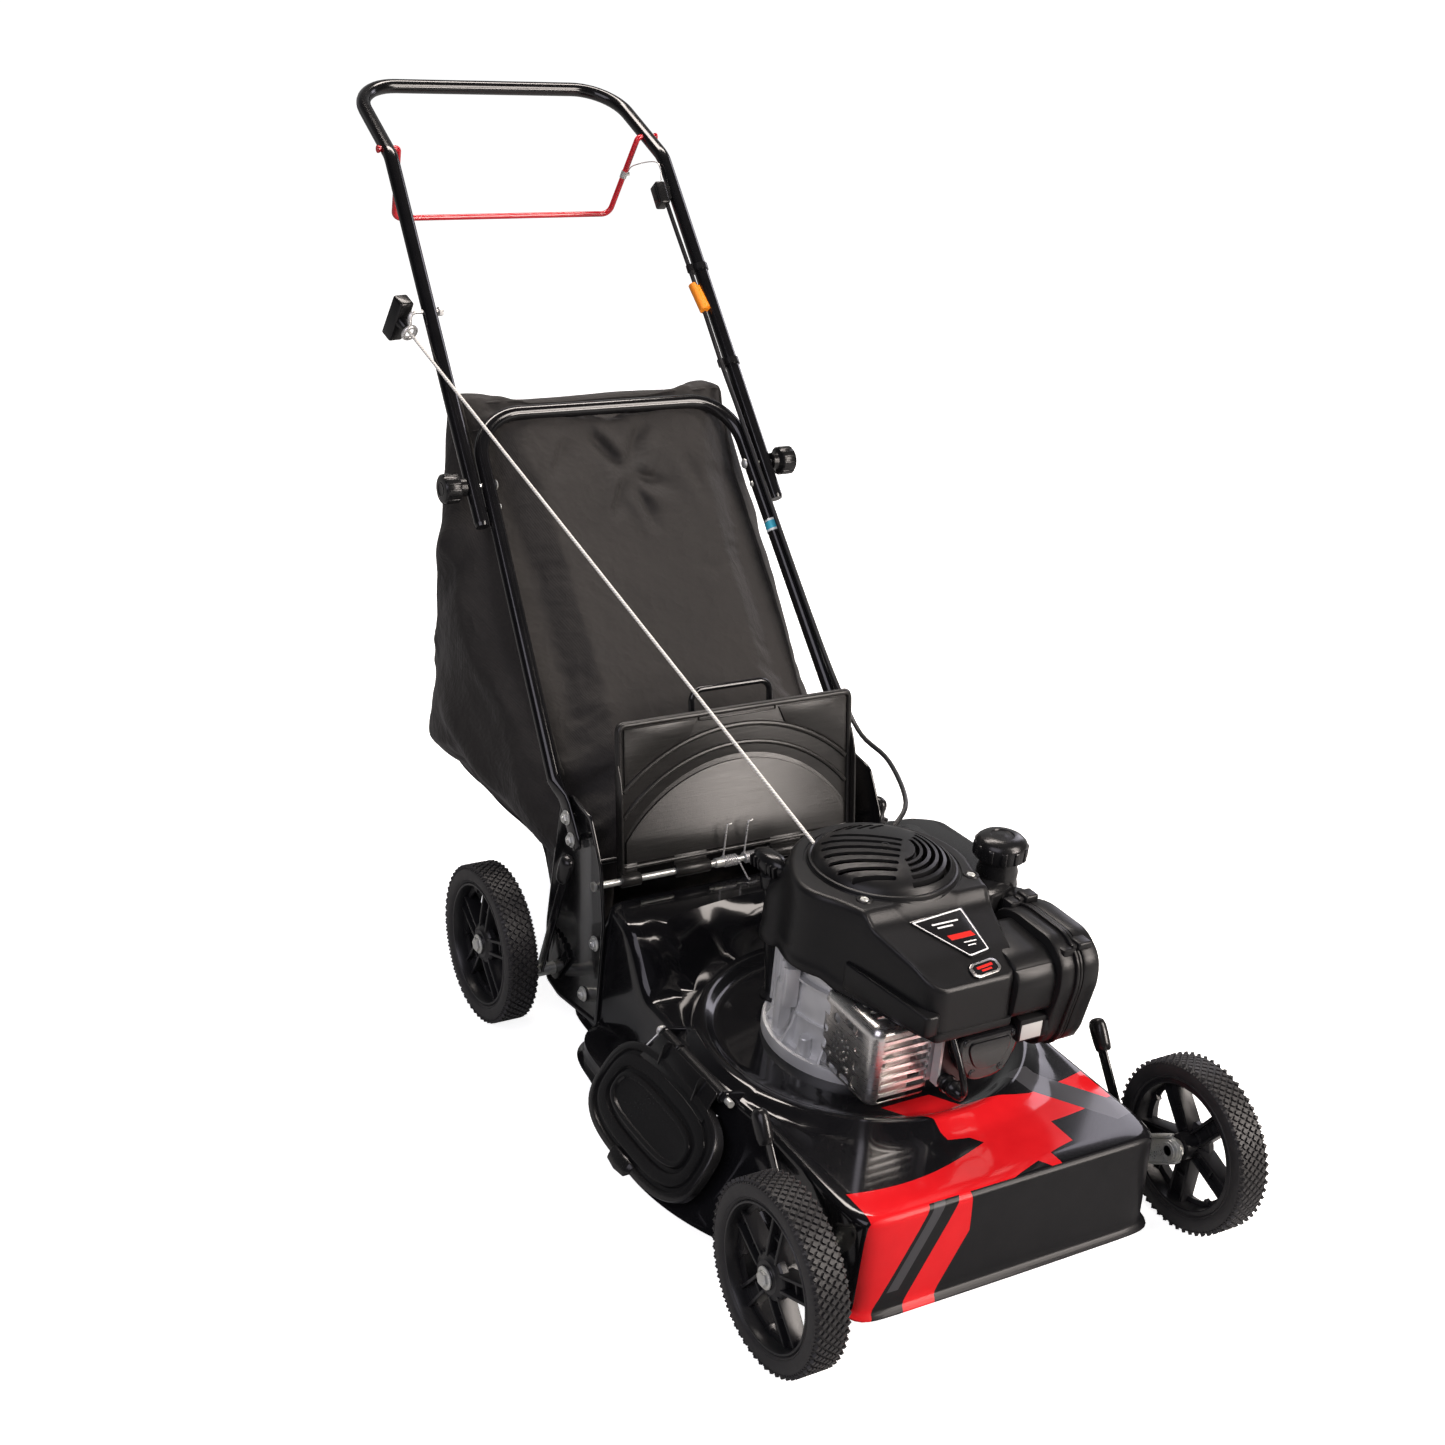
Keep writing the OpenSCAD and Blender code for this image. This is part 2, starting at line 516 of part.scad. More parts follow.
module engine_cylinder() color("#a8abb0") placed() at_crank(block_z) difference() {
    union() {
        translate([head_x, -block_y, 0]) rotate([90, 0, 0]) cylinder(r = 34, h = head_y - block_y);
        for (i = [0:6]) translate([head_x - fin_hw, -block_y - 7 - 8 * i, -fin_hh]) cube([2 * fin_hw, 3, 2 * fin_hh]);
        translate([head_x - 38, -block_y - 4, -34]) cube([76, 4, 68]);
        translate([head_x - 41, -head_y, -fin_hh]) cube([82, 12, 2 * fin_hh - 2]);
        translate([head_x - fin_hw - 2, -136, -20]) cube([40, 26, 26]);
        translate([head_x + fin_hw - 38, -132, -12]) cube([40, 26, 26]);
    }
    translate([head_x - fin_hw - 3, -123, -7]) rotate([0, 90, 0]) cylinder(r = 9, h = 30);
    translate([head_x + fin_hw - 20, -119, 1]) rotate([0, 90, 0]) cylinder(r = 9, h = 30);
    translate([head_x - 33, -head_y - cut, -31]) rotate([-90, 0, 0]) cylinder(r = 5 + run_gap, h = 10);
}
module valve_cover() color("#c4c6c8") placed() at_crank(block_z) {
    translate([head_x - 24, -head_y - 16, -15]) cube([62, 16, 42]);
    translate([head_x - 30, -head_y - 4, -21]) cube([74, 4, 54]);
    for (x = [-26, 40], z = [-15, 27]) translate([head_x + x, -head_y - 7, z]) rotate([90, 0, 0])
        cylinder(r = 4.5, h = 4, $fn = 6);
}
module spark_plug() color("white") placed() at_crank(block_z) translate([head_x - 33, -head_y, -31]) rotate([90, 0, 0]) {
    translate([0, 0, -8]) cylinder(r = 5, h = 8);
    cylinder(r = 7.4, h = 6, $fn = 6);
    translate([0, 0, 6]) cylinder(r = 5, h = 16);
}
module plug_boot() color("#161618") placed() at_crank(block_z) translate([head_x - 33, -head_y - 10, -31])
    rotate([90, 0, 0]) difference() {
        union() {
            cylinder(r = 9.5, h = 24);
            translate([0, 0, 17]) rotate([0, -60, 0]) cylinder(r = 4.5, h = 22);
        }
        translate([0, 0, -cut]) cylinder(r = 5 + run_gap, h = 12 + cut);
    }

// Muffler beside the cylinder, and its guard
muffler_box = [[-84, -136, 16], [-34, -96, 96]]; // corners, from the crankshaft and the platform
guard_t = 2;
guard_box = [[-92, -142, 16], [-22, -50, 108]];
module muffler() color("#8d8f92") placed() at_crank(platform_z) {
    translate(muffler_box[0]) cube(muffler_box[1] - muffler_box[0]);
    translate([muffler_box[1][0], -123, block_z - platform_z - 7]) rotate([0, 90, 0])
        cylinder(r = 11, h = head_x - fin_hw - 2 - muffler_box[1][0]);
    translate([-60, muffler_box[0][1], 56]) rotate([90, 0, 0]) cylinder(r = 9, h = 4);
}
module muffler_guard() color("#c9cbcd") placed() at_crank(platform_z) {
    mid_x = (guard_box[0][0] + guard_box[1][0]) / 2;
    difference() {
        translate(guard_box[0]) cube(guard_box[1] - guard_box[0]);
        translate(guard_box[0] + [guard_t, guard_t, -cut])
            cube(guard_box[1] - guard_box[0] - [0, 0, guard_t - cut]);
        for (i = [0:7]) translate([mid_x - 24, guard_box[0][1] - cut, 26 + 9.6 * i])
            cube([48, guard_t + 2 * cut, 4.6]);
        for (y = [-118, -96, -74], z = [38, 62]) translate([guard_box[0][0] - cut, y, z]) rotate([0, 90, 0])
            cylinder(r = 7, h = guard_t + 2 * cut, $fn = 24);
        for (x = [-82:13:-43], y = [-130:13:-91]) translate([x, y, guard_box[1][2] - guard_t - cut])
            cube([7, 7, guard_t + 2 * cut]);
        cylinder(r = shroud_r + 1.2, h = 200);
    }
    translate([-58.5, -107, muffler_box[1][2]]) cylinder(r = 5, h = guard_box[1][2] - guard_t - muffler_box[1][2]);
}

module shroud_plan(t) {
    circle(r = shroud_r - t);
    polygon([[-96 + t, -38], [-nose_hw + t, -nose_y + t], [nose_hw - t, -nose_y + t], [96 - t, -38]]);
}
module shroud_side(t) offset(delta = -t) polygon([[shroud_r + 20, 112 - 2 * t], [shroud_r + 20, 218], [-80, 218],
    [-90, 206], [-154, 186], [-nose_y - 20, 158], [-nose_y - 20, 120 - 2 * t], [-120, 112 - 2 * t]]);
module shroud_solid(t) intersection() {
    translate([0, 0, 100]) linear_extrude(130) shroud_plan(t);
    translate([-130, 0, 0]) rotate([90, 0, 90]) linear_extrude(260) shroud_side(t);
}
grille_hole = 74;
shroud_screws = [[-66, -62], [78, -58], [-70, 18]];
module engine_shroud() color("#141416") placed() at_crank(platform_z) {
    difference() {
        shroud_solid(0);
        shroud_solid(shroud_wall);
        cylinder(r = grille_hole, h = 300);
    }
    for (p = shroud_screws) translate([p[0], p[1], 218]) cylinder(r = 4, h = 2.5);
}
grille_h = engine_h - 218;
post_r = 6;
module recoil_grille() color("#121214") placed() at_crank(platform_z + 218) {
    difference() {
        cylinder(r = dome_r, h = grille_h);
        translate([0, 0, -cut]) cylinder(r = dome_r - 3, h = grille_h - 3 + cut);
        for (i = [-3:3]) translate([-70 + 2 * abs(i), 11 * i - 2.5, grille_h - 4]) cube([34, 5, 6]);
        for (i = [0:4]) translate([24 + 9 * i, -34 + 3 * i, grille_h - 4]) cube([5, 66 - 10 * i, 6]);
        for (i = [-2:2]) rotate(12 * i) translate([-2.5, 46, grille_h - 4]) cube([5, 24, 6]);
        translate(rope_exit - [0, -crank_y, platform_z + 218] - rope_dir * 30) along([0, 0, 0], rope_dir)
            cylinder(r = rope_d / 2 + 1.5, h = 60);
    }
    translate([0, 0, -2]) cylinder(r = post_r, h = grille_h - 1);
}
module recoil_pulley() color("#2a2a2c") placed() at_crank(platform_z + 222) rotate_extrude()
    polygon([[post_r + run_gap, 0], [pulley_r + 5, 0], [pulley_r + 5, 1.5], [pulley_r, 4], [pulley_r, 8],
        [pulley_r + 5, 10.5], [pulley_r + 5, 12], [post_r + run_gap, 12]]);

shaft_foot = 64; // bottom of the crankshaft
wheel_seat = platform_z + 134; // where the flywheel sits
taper_r = 9.9;
throw = 22;
web_z = [196, 226];
module crankshaft() color("silver") placed() at_crank() {
    difference() {
        union() {
            translate([0, 0, shaft_foot]) cylinder(r = crank_r, h = web_z[0] - shaft_foot);
            translate([0, 0, web_z[0]]) cylinder(r = 46, h = 10);
        }
        translate([0, 0, shaft_foot - cut]) cylinder(r = 5 + run_gap, h = 22);
    }
    translate([0, -throw, web_z[0]]) cylinder(r = 12, h = web_z[1] - web_z[0]);
    translate([0, 0, web_z[1]]) cylinder(r = 46, h = 10);
    translate([0, 0, web_z[1]]) cylinder(r = crank_r, h = wheel_seat - web_z[1]);
    translate([0, 0, wheel_seat]) cylinder(r = taper_r, h = 32);
    translate([0, 0, wheel_seat + 16]) cylinder(r = 15, h = 12, $fn = 6);
}
module flywheel() color("#9c9ea1") placed() at_crank(wheel_seat) difference() {
    union() {
        cylinder(r = 88, h = 16);
        for (a = [0:24:336]) rotate(a) translate([58, -1.5, 0]) cube([28, 3, 36]);
    }
    translate([0, 0, -cut]) cylinder(r = taper_r + run_gap, h = 20);
}
module blade_adapter() color("#6d6f72") placed() at_crank(shaft_foot) difference() {
    union() {
        translate([0, 0, -4]) cylinder(r = 30, h = 6);
        translate([0, 0, -4]) cylinder(r = 19, h = 32);
    }
    cylinder(r = crank_r + run_gap, h = 40);
    translate([0, 0, -10]) cylinder(r = 5 + 0.2, h = 20);
}
blade_w = 56;
blade_t = 3.5;
module blade() color("#3a3b3d") placed() at_crank(shaft_foot - 4 - blade_t) difference() {
    union() {
        translate([-blade_l / 2, -blade_w / 2, 0]) cube([blade_l, blade_w, blade_t]);
        for (a = [0, 180]) rotate(a) translate([blade_l * 0.3, blade_w / 2 - 6, 0])
            rotate([90, 0, 90]) linear_extrude(blade_l * 0.14) polygon([[-14, 0], [6, 0], [6, 16], [2, 16], [-14, blade_t]]);
    }
    translate([0, 0, -cut]) cylinder(r = 5 + 0.2, h = 10);
    for (a = [0, 180]) rotate(a) translate([blade_l / 2, blade_w / 2, -cut]) rotate(45) cube([26, 26, 10], center = true);
}
module blade_bolt() color("silver") placed() at_crank(shaft_foot - 4 - blade_t) {
    translate([0, 0, -4]) cylinder(r = 15, h = 4);
    translate([0, 0, -11]) cylinder(r = 9, h = 7, $fn = 6);
    translate([0, 0, -4]) cylinder(r = 5, h = 26);
}

tank_x = [84, 190];
tank_y = [-48, 160];
cap_at = [155, -12];
neck_r = 21;
neck_top = 210;
module tank_plan(t) difference() {
    offset(delta = -t) polygon([[tank_x[0], tank_y[0]], [tank_x[1] - 18, tank_y[0]], [tank_x[1], tank_y[0] + 18],
        [tank_x[1], tank_y[1] - 30], [tank_x[1] - 30, tank_y[1]], [tank_x[0], tank_y[1]]]);
    circle(r = shroud_r + 2 + t);
}
module fuel_tank() color("#0f0f11") placed() at_crank(platform_z) difference() {
    union() {
        translate([0, 0, tank_z[0] - platform_z]) linear_extrude(tank_z[1] - tank_z[0]) tank_plan(0);
        translate([cap_at[0], cap_at[1], tank_z[1] - platform_z]) cylinder(r = neck_r, h = neck_top - tank_z[1] + platform_z);
    }
    translate([0, 0, tank_z[0] - platform_z + 3]) linear_extrude(tank_z[1] - tank_z[0] - 6) tank_plan(3);
    translate([cap_at[0], cap_at[1], 140]) cylinder(r = neck_r - 4, h = 100);
}
module fuel_cap() color("#131315") placed() at_crank(platform_z) translate([cap_at[0], cap_at[1], neck_top - 16])
    difference() {
        cylinder(r = 28, h = 26);
        translate([0, 0, -cut]) cylinder(r = neck_r + body_gap, h = 16 + body_gap + cut);
        for (a = [0:24:336]) rotate(a) translate([30, 0, -cut]) cylinder(r = 3.2, h = 40, $fn = 16);
    }

filter_x = [102, 130, 164];
module filter_side(t) offset(delta = -t) polygon([[-109, 199], [-176, 199], [-202, 180], [-207, 152], [-192, 78],
    [-178, 60], [-150, 54], [-100, 60], [-78, 88], [-72, 164], [-84, 190]]);
module filter_slab(x0, x1, t) translate([x0, 0, 0]) rotate([90, 0, 90]) linear_extrude(x1 - x0) filter_side(t);
module air_filter_base() color("#141416") placed() at_crank(platform_z) difference() {
    filter_slab(filter_x[0], filter_x[1], 0);
    filter_slab(filter_x[0] + 4, filter_x[1] + cut, 4);
    translate([filter_x[0] - cut, -119, block_z - platform_z + 1]) rotate([0, 90, 0]) cylinder(r = 10, h = 8);
}
module air_filter_element() color("#d8d2b8") placed() at_crank(platform_z)
    filter_slab(filter_x[0] + 4, filter_x[2] - 8, 10);
module air_filter_cover() color("#141416") placed() at_crank(platform_z) difference() {
    union() {
        filter_slab(filter_x[1] + body_gap, filter_x[2], 0);
        filter_slab(filter_x[2], filter_x[2] + 3, 16);
    }
    filter_slab(filter_x[1], filter_x[2] - 3, 3);
}
module carburettor() color("#a3a5a8") placed() at_crank(platform_z) {
    translate([head_x + fin_hw + 2, -134, block_z - platform_z - 14])
        cube([filter_x[0] - head_x - fin_hw - 2, 30, 30]);
    translate([head_x + fin_hw + 15.5, -119, block_z - platform_z - 34]) cylinder(r = 12, h = 20);
}

// ---- rear door and side deflector ----
door_lean = 10.4;
door_hw = 167;
door_t = 3;
door_l = 194;
module rear_door() color("#151517") placed() translate([0, door_y, door_z]) rotate([-door_lean, 0, 0])
    difference() {
        union() {
            translate([-door_hw, 7, 10]) cube([2 * door_hw, door_t, door_l - 10]);
            for (s = [-1, 1]) translate([s > 0 ? door_hw - door_t : -door_hw, -6, 10]) cube([door_t, 14, door_l - 60]);
            for (x = [[-167, -141], [-92, -45], [45, 92], [141, 167]]) {
                translate([x[0], 0, 0]) rotate([0, 90, 0]) cylinder(r = barrel_r, h = x[1] - x[0]);
                translate([x[0], 0, 0]) cube([x[1] - x[0], 10, 18]);
            }
        }
        translate([-200, 0, 0]) rotate([0, 90, 0]) cylinder(r = rod_r + run_gap, h = 400);
    }
deflector_y = [-156, 58];
deflector_t = 3.5;
module chute_deflector() color("#161618") placed() difference() {
    union() {
        translate([0, deflector_y[1], 0]) rotate([90, 0, 0]) linear_extrude(deflector_y[1] - deflector_y[0])
            polygon([[-hinge_x - barrel_r + 2, hinge_z + 6], [-hinge_x - barrel_r + 2 - deflector_t, hinge_z + 6],
                [-house_r - 6, rim_z + lip_h + 8], [-house_r - 4, rim_z + lip_h + 4],
                [-house_r + 1, rim_z + lip_h + 6]]);
        for (y = [ear_y[0] + ear_w / 2 + body_gap, ear_y[1] - ear_w / 2 - body_gap - 34])
            translate([-hinge_x, y, hinge_z]) rotate([-90, 0, 0]) cylinder(r = barrel_r, h = 34);
    }
    translate([-hinge_x, -200, hinge_z]) rotate([-90, 0, 0]) cylinder(r = rod_r + run_gap, h = 400);
    for (y = ear_y) translate([-hinge_x - barrel_r - body_gap, y - ear_w / 2 - body_gap, hinge_z - 20])
        cube([40, ear_w + 2 * body_gap, 40]);
    translate([-hinge_x - 30, ear_y[1] + ear_w / 2, hinge_z - 24]) cube([40, 9, 40]);
}

// ---- bag ----
bag_gap = 13; // distance of the bag's sloping panel behind the handle's centre line
bag_top = 696;
function bag_slope(z) = base_y + (z - base_z) * tan(lean) + bag_gap / cos(lean);
mouth_z = 228;
mouth_y = 268;
module bag_side(t) offset(delta = -t) polygon([[mouth_y + 6, 88], [mouth_y + 40, 88], [392, bag_floor],
    [bag_rear, bag_floor], [bag_rear, bag_top - 14], [bag_rear - 8, bag_top], [bag_slope(bag_top), bag_top],
    [bag_slope(324), 324], [mouth_y, mouth_z]]);
module bag_slab(t) translate([-bag_hw + t, 0, 0]) rotate([90, 0, 90]) linear_extrude(2 * (bag_hw - t)) bag_side(t);
module grass_bag() color("#3b3836") placed() difference() {
    bag_slab(0);
    bag_slab(bag_wall);
    translate([-150, mouth_y - 20, 100]) cube([300, 34, 100]);
}
wire_r = 4;
loop_x = [-36, 76];
frame_y = mouth_y - 2.65;
module bag_frame() color("#c2c4c6") placed() {
    rod_between([-bag_hw + 6, frame_y, mouth_z + 3.5], [bag_hw - 6, frame_y, mouth_z + 3.5], wire_r);
    bent_rod([[loop_x[0], frame_y, mouth_z + 3.5], [loop_x[0], 306, 424], [loop_x[1], 306, 424],
        [loop_x[1], frame_y, mouth_z + 3.5]], [14, 14], wire_r);
}

// ---- wheels and height arms ----
module tyre(s, e) color("#101012") placed() translate([s * wheel_x, e * axle_y, wheel_r]) rotate([0, 90 * s, 0])
    rotate_extrude($fn = 96) polygon([[rim_d / 2, -wheel_w / 2 + 3], [rim_d / 2 + 3, -wheel_w / 2], [wheel_r - 5, -wheel_w / 2],
        [wheel_r, -wheel_w / 2 + 4], [wheel_r, -7], [wheel_r - 2, -6], [wheel_r - 2, -4], [wheel_r, -3],
        [wheel_r, 3], [wheel_r - 2, 4], [wheel_r - 2, 6], [wheel_r, 7], [wheel_r, wheel_w / 2 - 4],
        [wheel_r - 5, wheel_w / 2], [rim_d / 2 + 3, wheel_w / 2], [rim_d / 2, wheel_w / 2 - 3]]);
hub_in = 12; // how far the hub's boss stands in from the wheel's middle plane
module hub(s, e) color("#161618") placed() translate([s * wheel_x, e * axle_y, wheel_r]) rotate([0, 90 * s, 0])
    difference() {
        union() {
            difference() {
                translate([0, 0, -wheel_w / 2 + 2]) cylinder(r = rim_d / 2 - run_gap, h = wheel_w - 4);
                translate([0, 0, -wheel_w / 2]) cylinder(r = rim_d / 2 - 6, h = wheel_w);
            }
            translate([0, 0, 2]) cylinder(r = rim_d / 2 - 5, h = 5);
            translate([0, 0, -wheel_w / 2 + 0.5]) cylinder(r = 15, h = wheel_w - 4);
            for (a = [0:72:288], b = [-9, 9]) rotate(a + b) translate([10, -2, -8]) cube([rim_d / 2 - 14, 4, 18]);
        }
        for (a = [36:72:324]) rotate(a) translate([44, 0, -30]) cylinder(r = 15, h = 60, $fn = 40);
        translate([0, 0, -wheel_w]) cylinder(r = axle_d / 2 + run_gap, h = 2 * wheel_w);
    }
module link(a, b, w) {
    d = b - a;
    translate(a) circle(d = w);
    translate(b) circle(d = w);
    translate(a) rotate(atan2(d[1], d[0])) translate([0, -w / 2 + 0.05]) square([norm(d), w - 0.1]);
}
arm_in = 236;
arm_t = 5;
lever_in = 221;
lever_t = 4;
lever_l = [142, 187];
lever_a = [53.3, 107.8];
function lever_tip(e) = let (i = e > 0 ? 1 : 0) [pivot_y(e), pivot_z] + lever_l[i] * [cos(lever_a[i]), sin(lever_a[i])];
module height_arm(s, e) color("#1d1d1f") placed() {
    tip = lever_tip(e);
    pivot = [pivot_y(e), pivot_z];
    hub_face = wheel_x + wheel_w / 2 - 3.5;
    side_rod(s, plate_in + body_gap, arm_in + arm_t, pivot[0], pivot[1], pivot_d / 2);
    side_plate(s, arm_in, arm_in + arm_t) link(pivot, [e * axle_y, wheel_r], 26);
    side_plate(s, lever_in, lever_in + lever_t) link(pivot, tip, 14);
    side_rod(s, lever_in - 5.5, lever_in + 14, tip[0], tip[1], 12);
    side_rod(s, arm_in, wheel_x - wheel_w / 2 + 0.2, e * axle_y, wheel_r, 10);
    side_rod(s, arm_in, hub_face + body_gap, e * axle_y, wheel_r, axle_d / 2);
    hex_bolt(s, hub_face + body_gap, e * axle_y, wheel_r, 9, 5);
}
module tyre_front_right() tyre(-1, -1);
module hub_front_right() hub(-1, -1);
module height_arm_front_right() height_arm(-1, -1);
module tyre_front_left() tyre(1, -1);
module hub_front_left() hub(1, -1);
module height_arm_front_left() height_arm(1, -1);
module tyre_rear_right() tyre(-1, 1);
module hub_rear_right() hub(-1, 1);
module height_arm_rear_right() height_arm(-1, 1);
module tyre_rear_left() tyre(1, 1);
module hub_rear_left() hub(1, 1);
module height_arm_rear_left() height_arm(1, 1);

deck_shell();
handle_brackets();
height_plates();
deck_fasteners();
hinge_rods();
hinge_springs();
lower_handle();
handle_bolts();
crankcase();
engine_cylinder();
valve_cover();
muffler();
muffler_guard();
spark_plug();
plug_boot();
engine_shroud();
recoil_grille();
fuel_tank();
air_filter_base();
air_filter_element();
carburettor();
oil_fill_tube();
starter_rope();
brake_cable_lower();
upper_handle();
rope_guide();
cable_bracket();
brake_cable_upper();
bail_wire();
stop_bail();
knob_right();
knob_left();
starter_grip();
recoil_pulley();
crankshaft();
flywheel();
blade_adapter();
blade();
blade_bolt();
fuel_cap();
dipstick();
air_filter_cover();
rear_door();
chute_deflector();
grass_bag();
bag_frame();
tyre_front_right();
hub_front_right();
height_arm_front_right();
tyre_front_left();
hub_front_left();
height_arm_front_left();
tyre_rear_right();
hub_rear_right();
height_arm_rear_right();
tyre_rear_left();
hub_rear_left();
height_arm_rear_left();
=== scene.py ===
import bpy, bmesh, math
from math import cos, sin, pi, radians, atan2, hypot
from mathutils import Matrix, Vector, noise
from mathutils.bvhtree import BVHTree


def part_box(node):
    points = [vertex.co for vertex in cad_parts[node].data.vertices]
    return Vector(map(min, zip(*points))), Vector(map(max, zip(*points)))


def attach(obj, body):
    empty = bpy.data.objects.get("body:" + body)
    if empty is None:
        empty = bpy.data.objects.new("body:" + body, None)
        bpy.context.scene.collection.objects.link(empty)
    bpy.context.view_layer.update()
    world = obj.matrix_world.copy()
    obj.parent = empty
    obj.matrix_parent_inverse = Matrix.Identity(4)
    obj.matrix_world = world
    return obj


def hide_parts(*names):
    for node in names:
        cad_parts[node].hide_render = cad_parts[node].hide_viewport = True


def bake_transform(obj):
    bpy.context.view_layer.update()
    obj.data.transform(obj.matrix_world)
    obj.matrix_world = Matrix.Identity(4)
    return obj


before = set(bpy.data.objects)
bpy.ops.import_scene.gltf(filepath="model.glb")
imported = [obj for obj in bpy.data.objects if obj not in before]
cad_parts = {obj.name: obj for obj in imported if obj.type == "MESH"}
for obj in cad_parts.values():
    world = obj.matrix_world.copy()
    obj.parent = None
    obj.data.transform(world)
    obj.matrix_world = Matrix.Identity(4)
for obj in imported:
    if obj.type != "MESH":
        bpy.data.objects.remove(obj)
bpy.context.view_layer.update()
scene = bpy.context.scene
midY = (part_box("tyre_front_right")[0].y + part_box("tyre_rear_right")[1].y) / 2  # middle of the wheelbase
# pieces are drawn in millimetres round that middle
toMetres = Matrix.Translation((0, midY, 0)) @ Matrix.Scale(0.001, 4)


def at(point):
    return toMetres @ Vector(point)


def back(spot):  # the same point in millimetres
    return Vector((spot.x * 1000, (spot.y - midY) * 1000, spot.z * 1000))


# camera, light and floor
view = {"place": (-1.2345, -1.9666, 1.4077), "yaw": -32.5, "pitch": -24.0, "roll": 5.6, "lens": 50.89, "sensor": 36,
        "far": 50}
warm, cool = (1.0, 0.91, 0.85), (0.92, 0.88, 1.0)
lights = [  # place, aimed at, width, height, watts, tint
    ((-2.2, -1.5, 2.1), (0, -0.2, 0.35), 2.2, 2.0, 34, cool),
    ((1.55, -2.1, 2.3), (0, -0.2, 0.3), 1.25, 1.3, 70, warm),
    ((0.3, 1.3, 3.0), (0, -0.1, 0.3), 2.2, 0.5, 66, warm),
    ((2.5, 1.2, 1.5), (0, 0, 0.4), 0.6, 1.6, 10, cool),
    ((1.12, -2.0, 0.98), (0, -0.08, 0.33), 0.85, 0.5, 30, warm)]
look = {"ambient": 0.2, "backdrop": 0.34, "far": 0.03, "floor": 0.86, "floorDim": 0.34, "floorGlow": 0.86}


def setCamera():
    data = bpy.data.cameras.new("camera")
    data.lens, data.sensor_width, data.clip_end = view["lens"], view["sensor"], view["far"]
    yaw, pitch, roll = (radians(view[k]) for k in ("yaw", "pitch", "roll"))
    ahead = Vector((-sin(yaw) * cos(pitch), cos(yaw) * cos(pitch), sin(pitch)))
    right = ahead.cross(Vector((0, 0, 1))).normalized()
    up = right.cross(ahead)
    axes = Matrix((right * cos(roll) + up * sin(roll), up * cos(roll) - right * sin(roll), -ahead)).transposed()
    camera = bpy.data.objects.new("camera", data)
    camera.matrix_world = Matrix.Translation(view["place"]) @ axes.to_4x4()
    scene.collection.objects.link(camera)
    scene.camera = camera


def setLights():
    for i, (place, aim, width, height, watts, tint) in enumerate(lights):
        data = bpy.data.lights.new(f"softbox{i}", "AREA")
        data.shape, data.size, data.size_y, data.energy, data.color = "RECTANGLE", width, height, watts, tint
        lamp = bpy.data.objects.new(f"softbox{i}", data)
        lamp.location = place
        lamp.rotation_euler = (Vector(aim) - Vector(place)).to_track_quat("-Z", "Y").to_euler()
        scene.collection.objects.link(lamp)


class Wire:
    def __init__(self, finish, socket):
        self.finish, self.socket = finish, socket

    def sum(self, operation, other, flipped=False):
        a, b = (other, self) if flipped else (self, other)
        return self.finish.add("ShaderNodeMath", {"operation": operation}, {0: a, 1: b})

    def __add__(self, other): return self.sum("ADD", other)
    def __radd__(self, other): return self.sum("ADD", other)
    def __sub__(self, other): return self.sum("SUBTRACT", other)
    def __rsub__(self, other): return self.sum("SUBTRACT", other, True)
    def __mul__(self, other): return self.sum("MULTIPLY", other)
    def __rmul__(self, other): return self.sum("MULTIPLY", other)
    def __gt__(self, other): return self.sum("GREATER_THAN", other)
    def __lt__(self, other): return self.sum("LESS_THAN", other)
    def most(self, other): return self.sum("MAXIMUM", other)
    def least(self, other): return self.sum("MINIMUM", other)
    def wave(self): return self.sum("SINE", 0)
    def size(self): return self.sum("ABSOLUTE", 0)


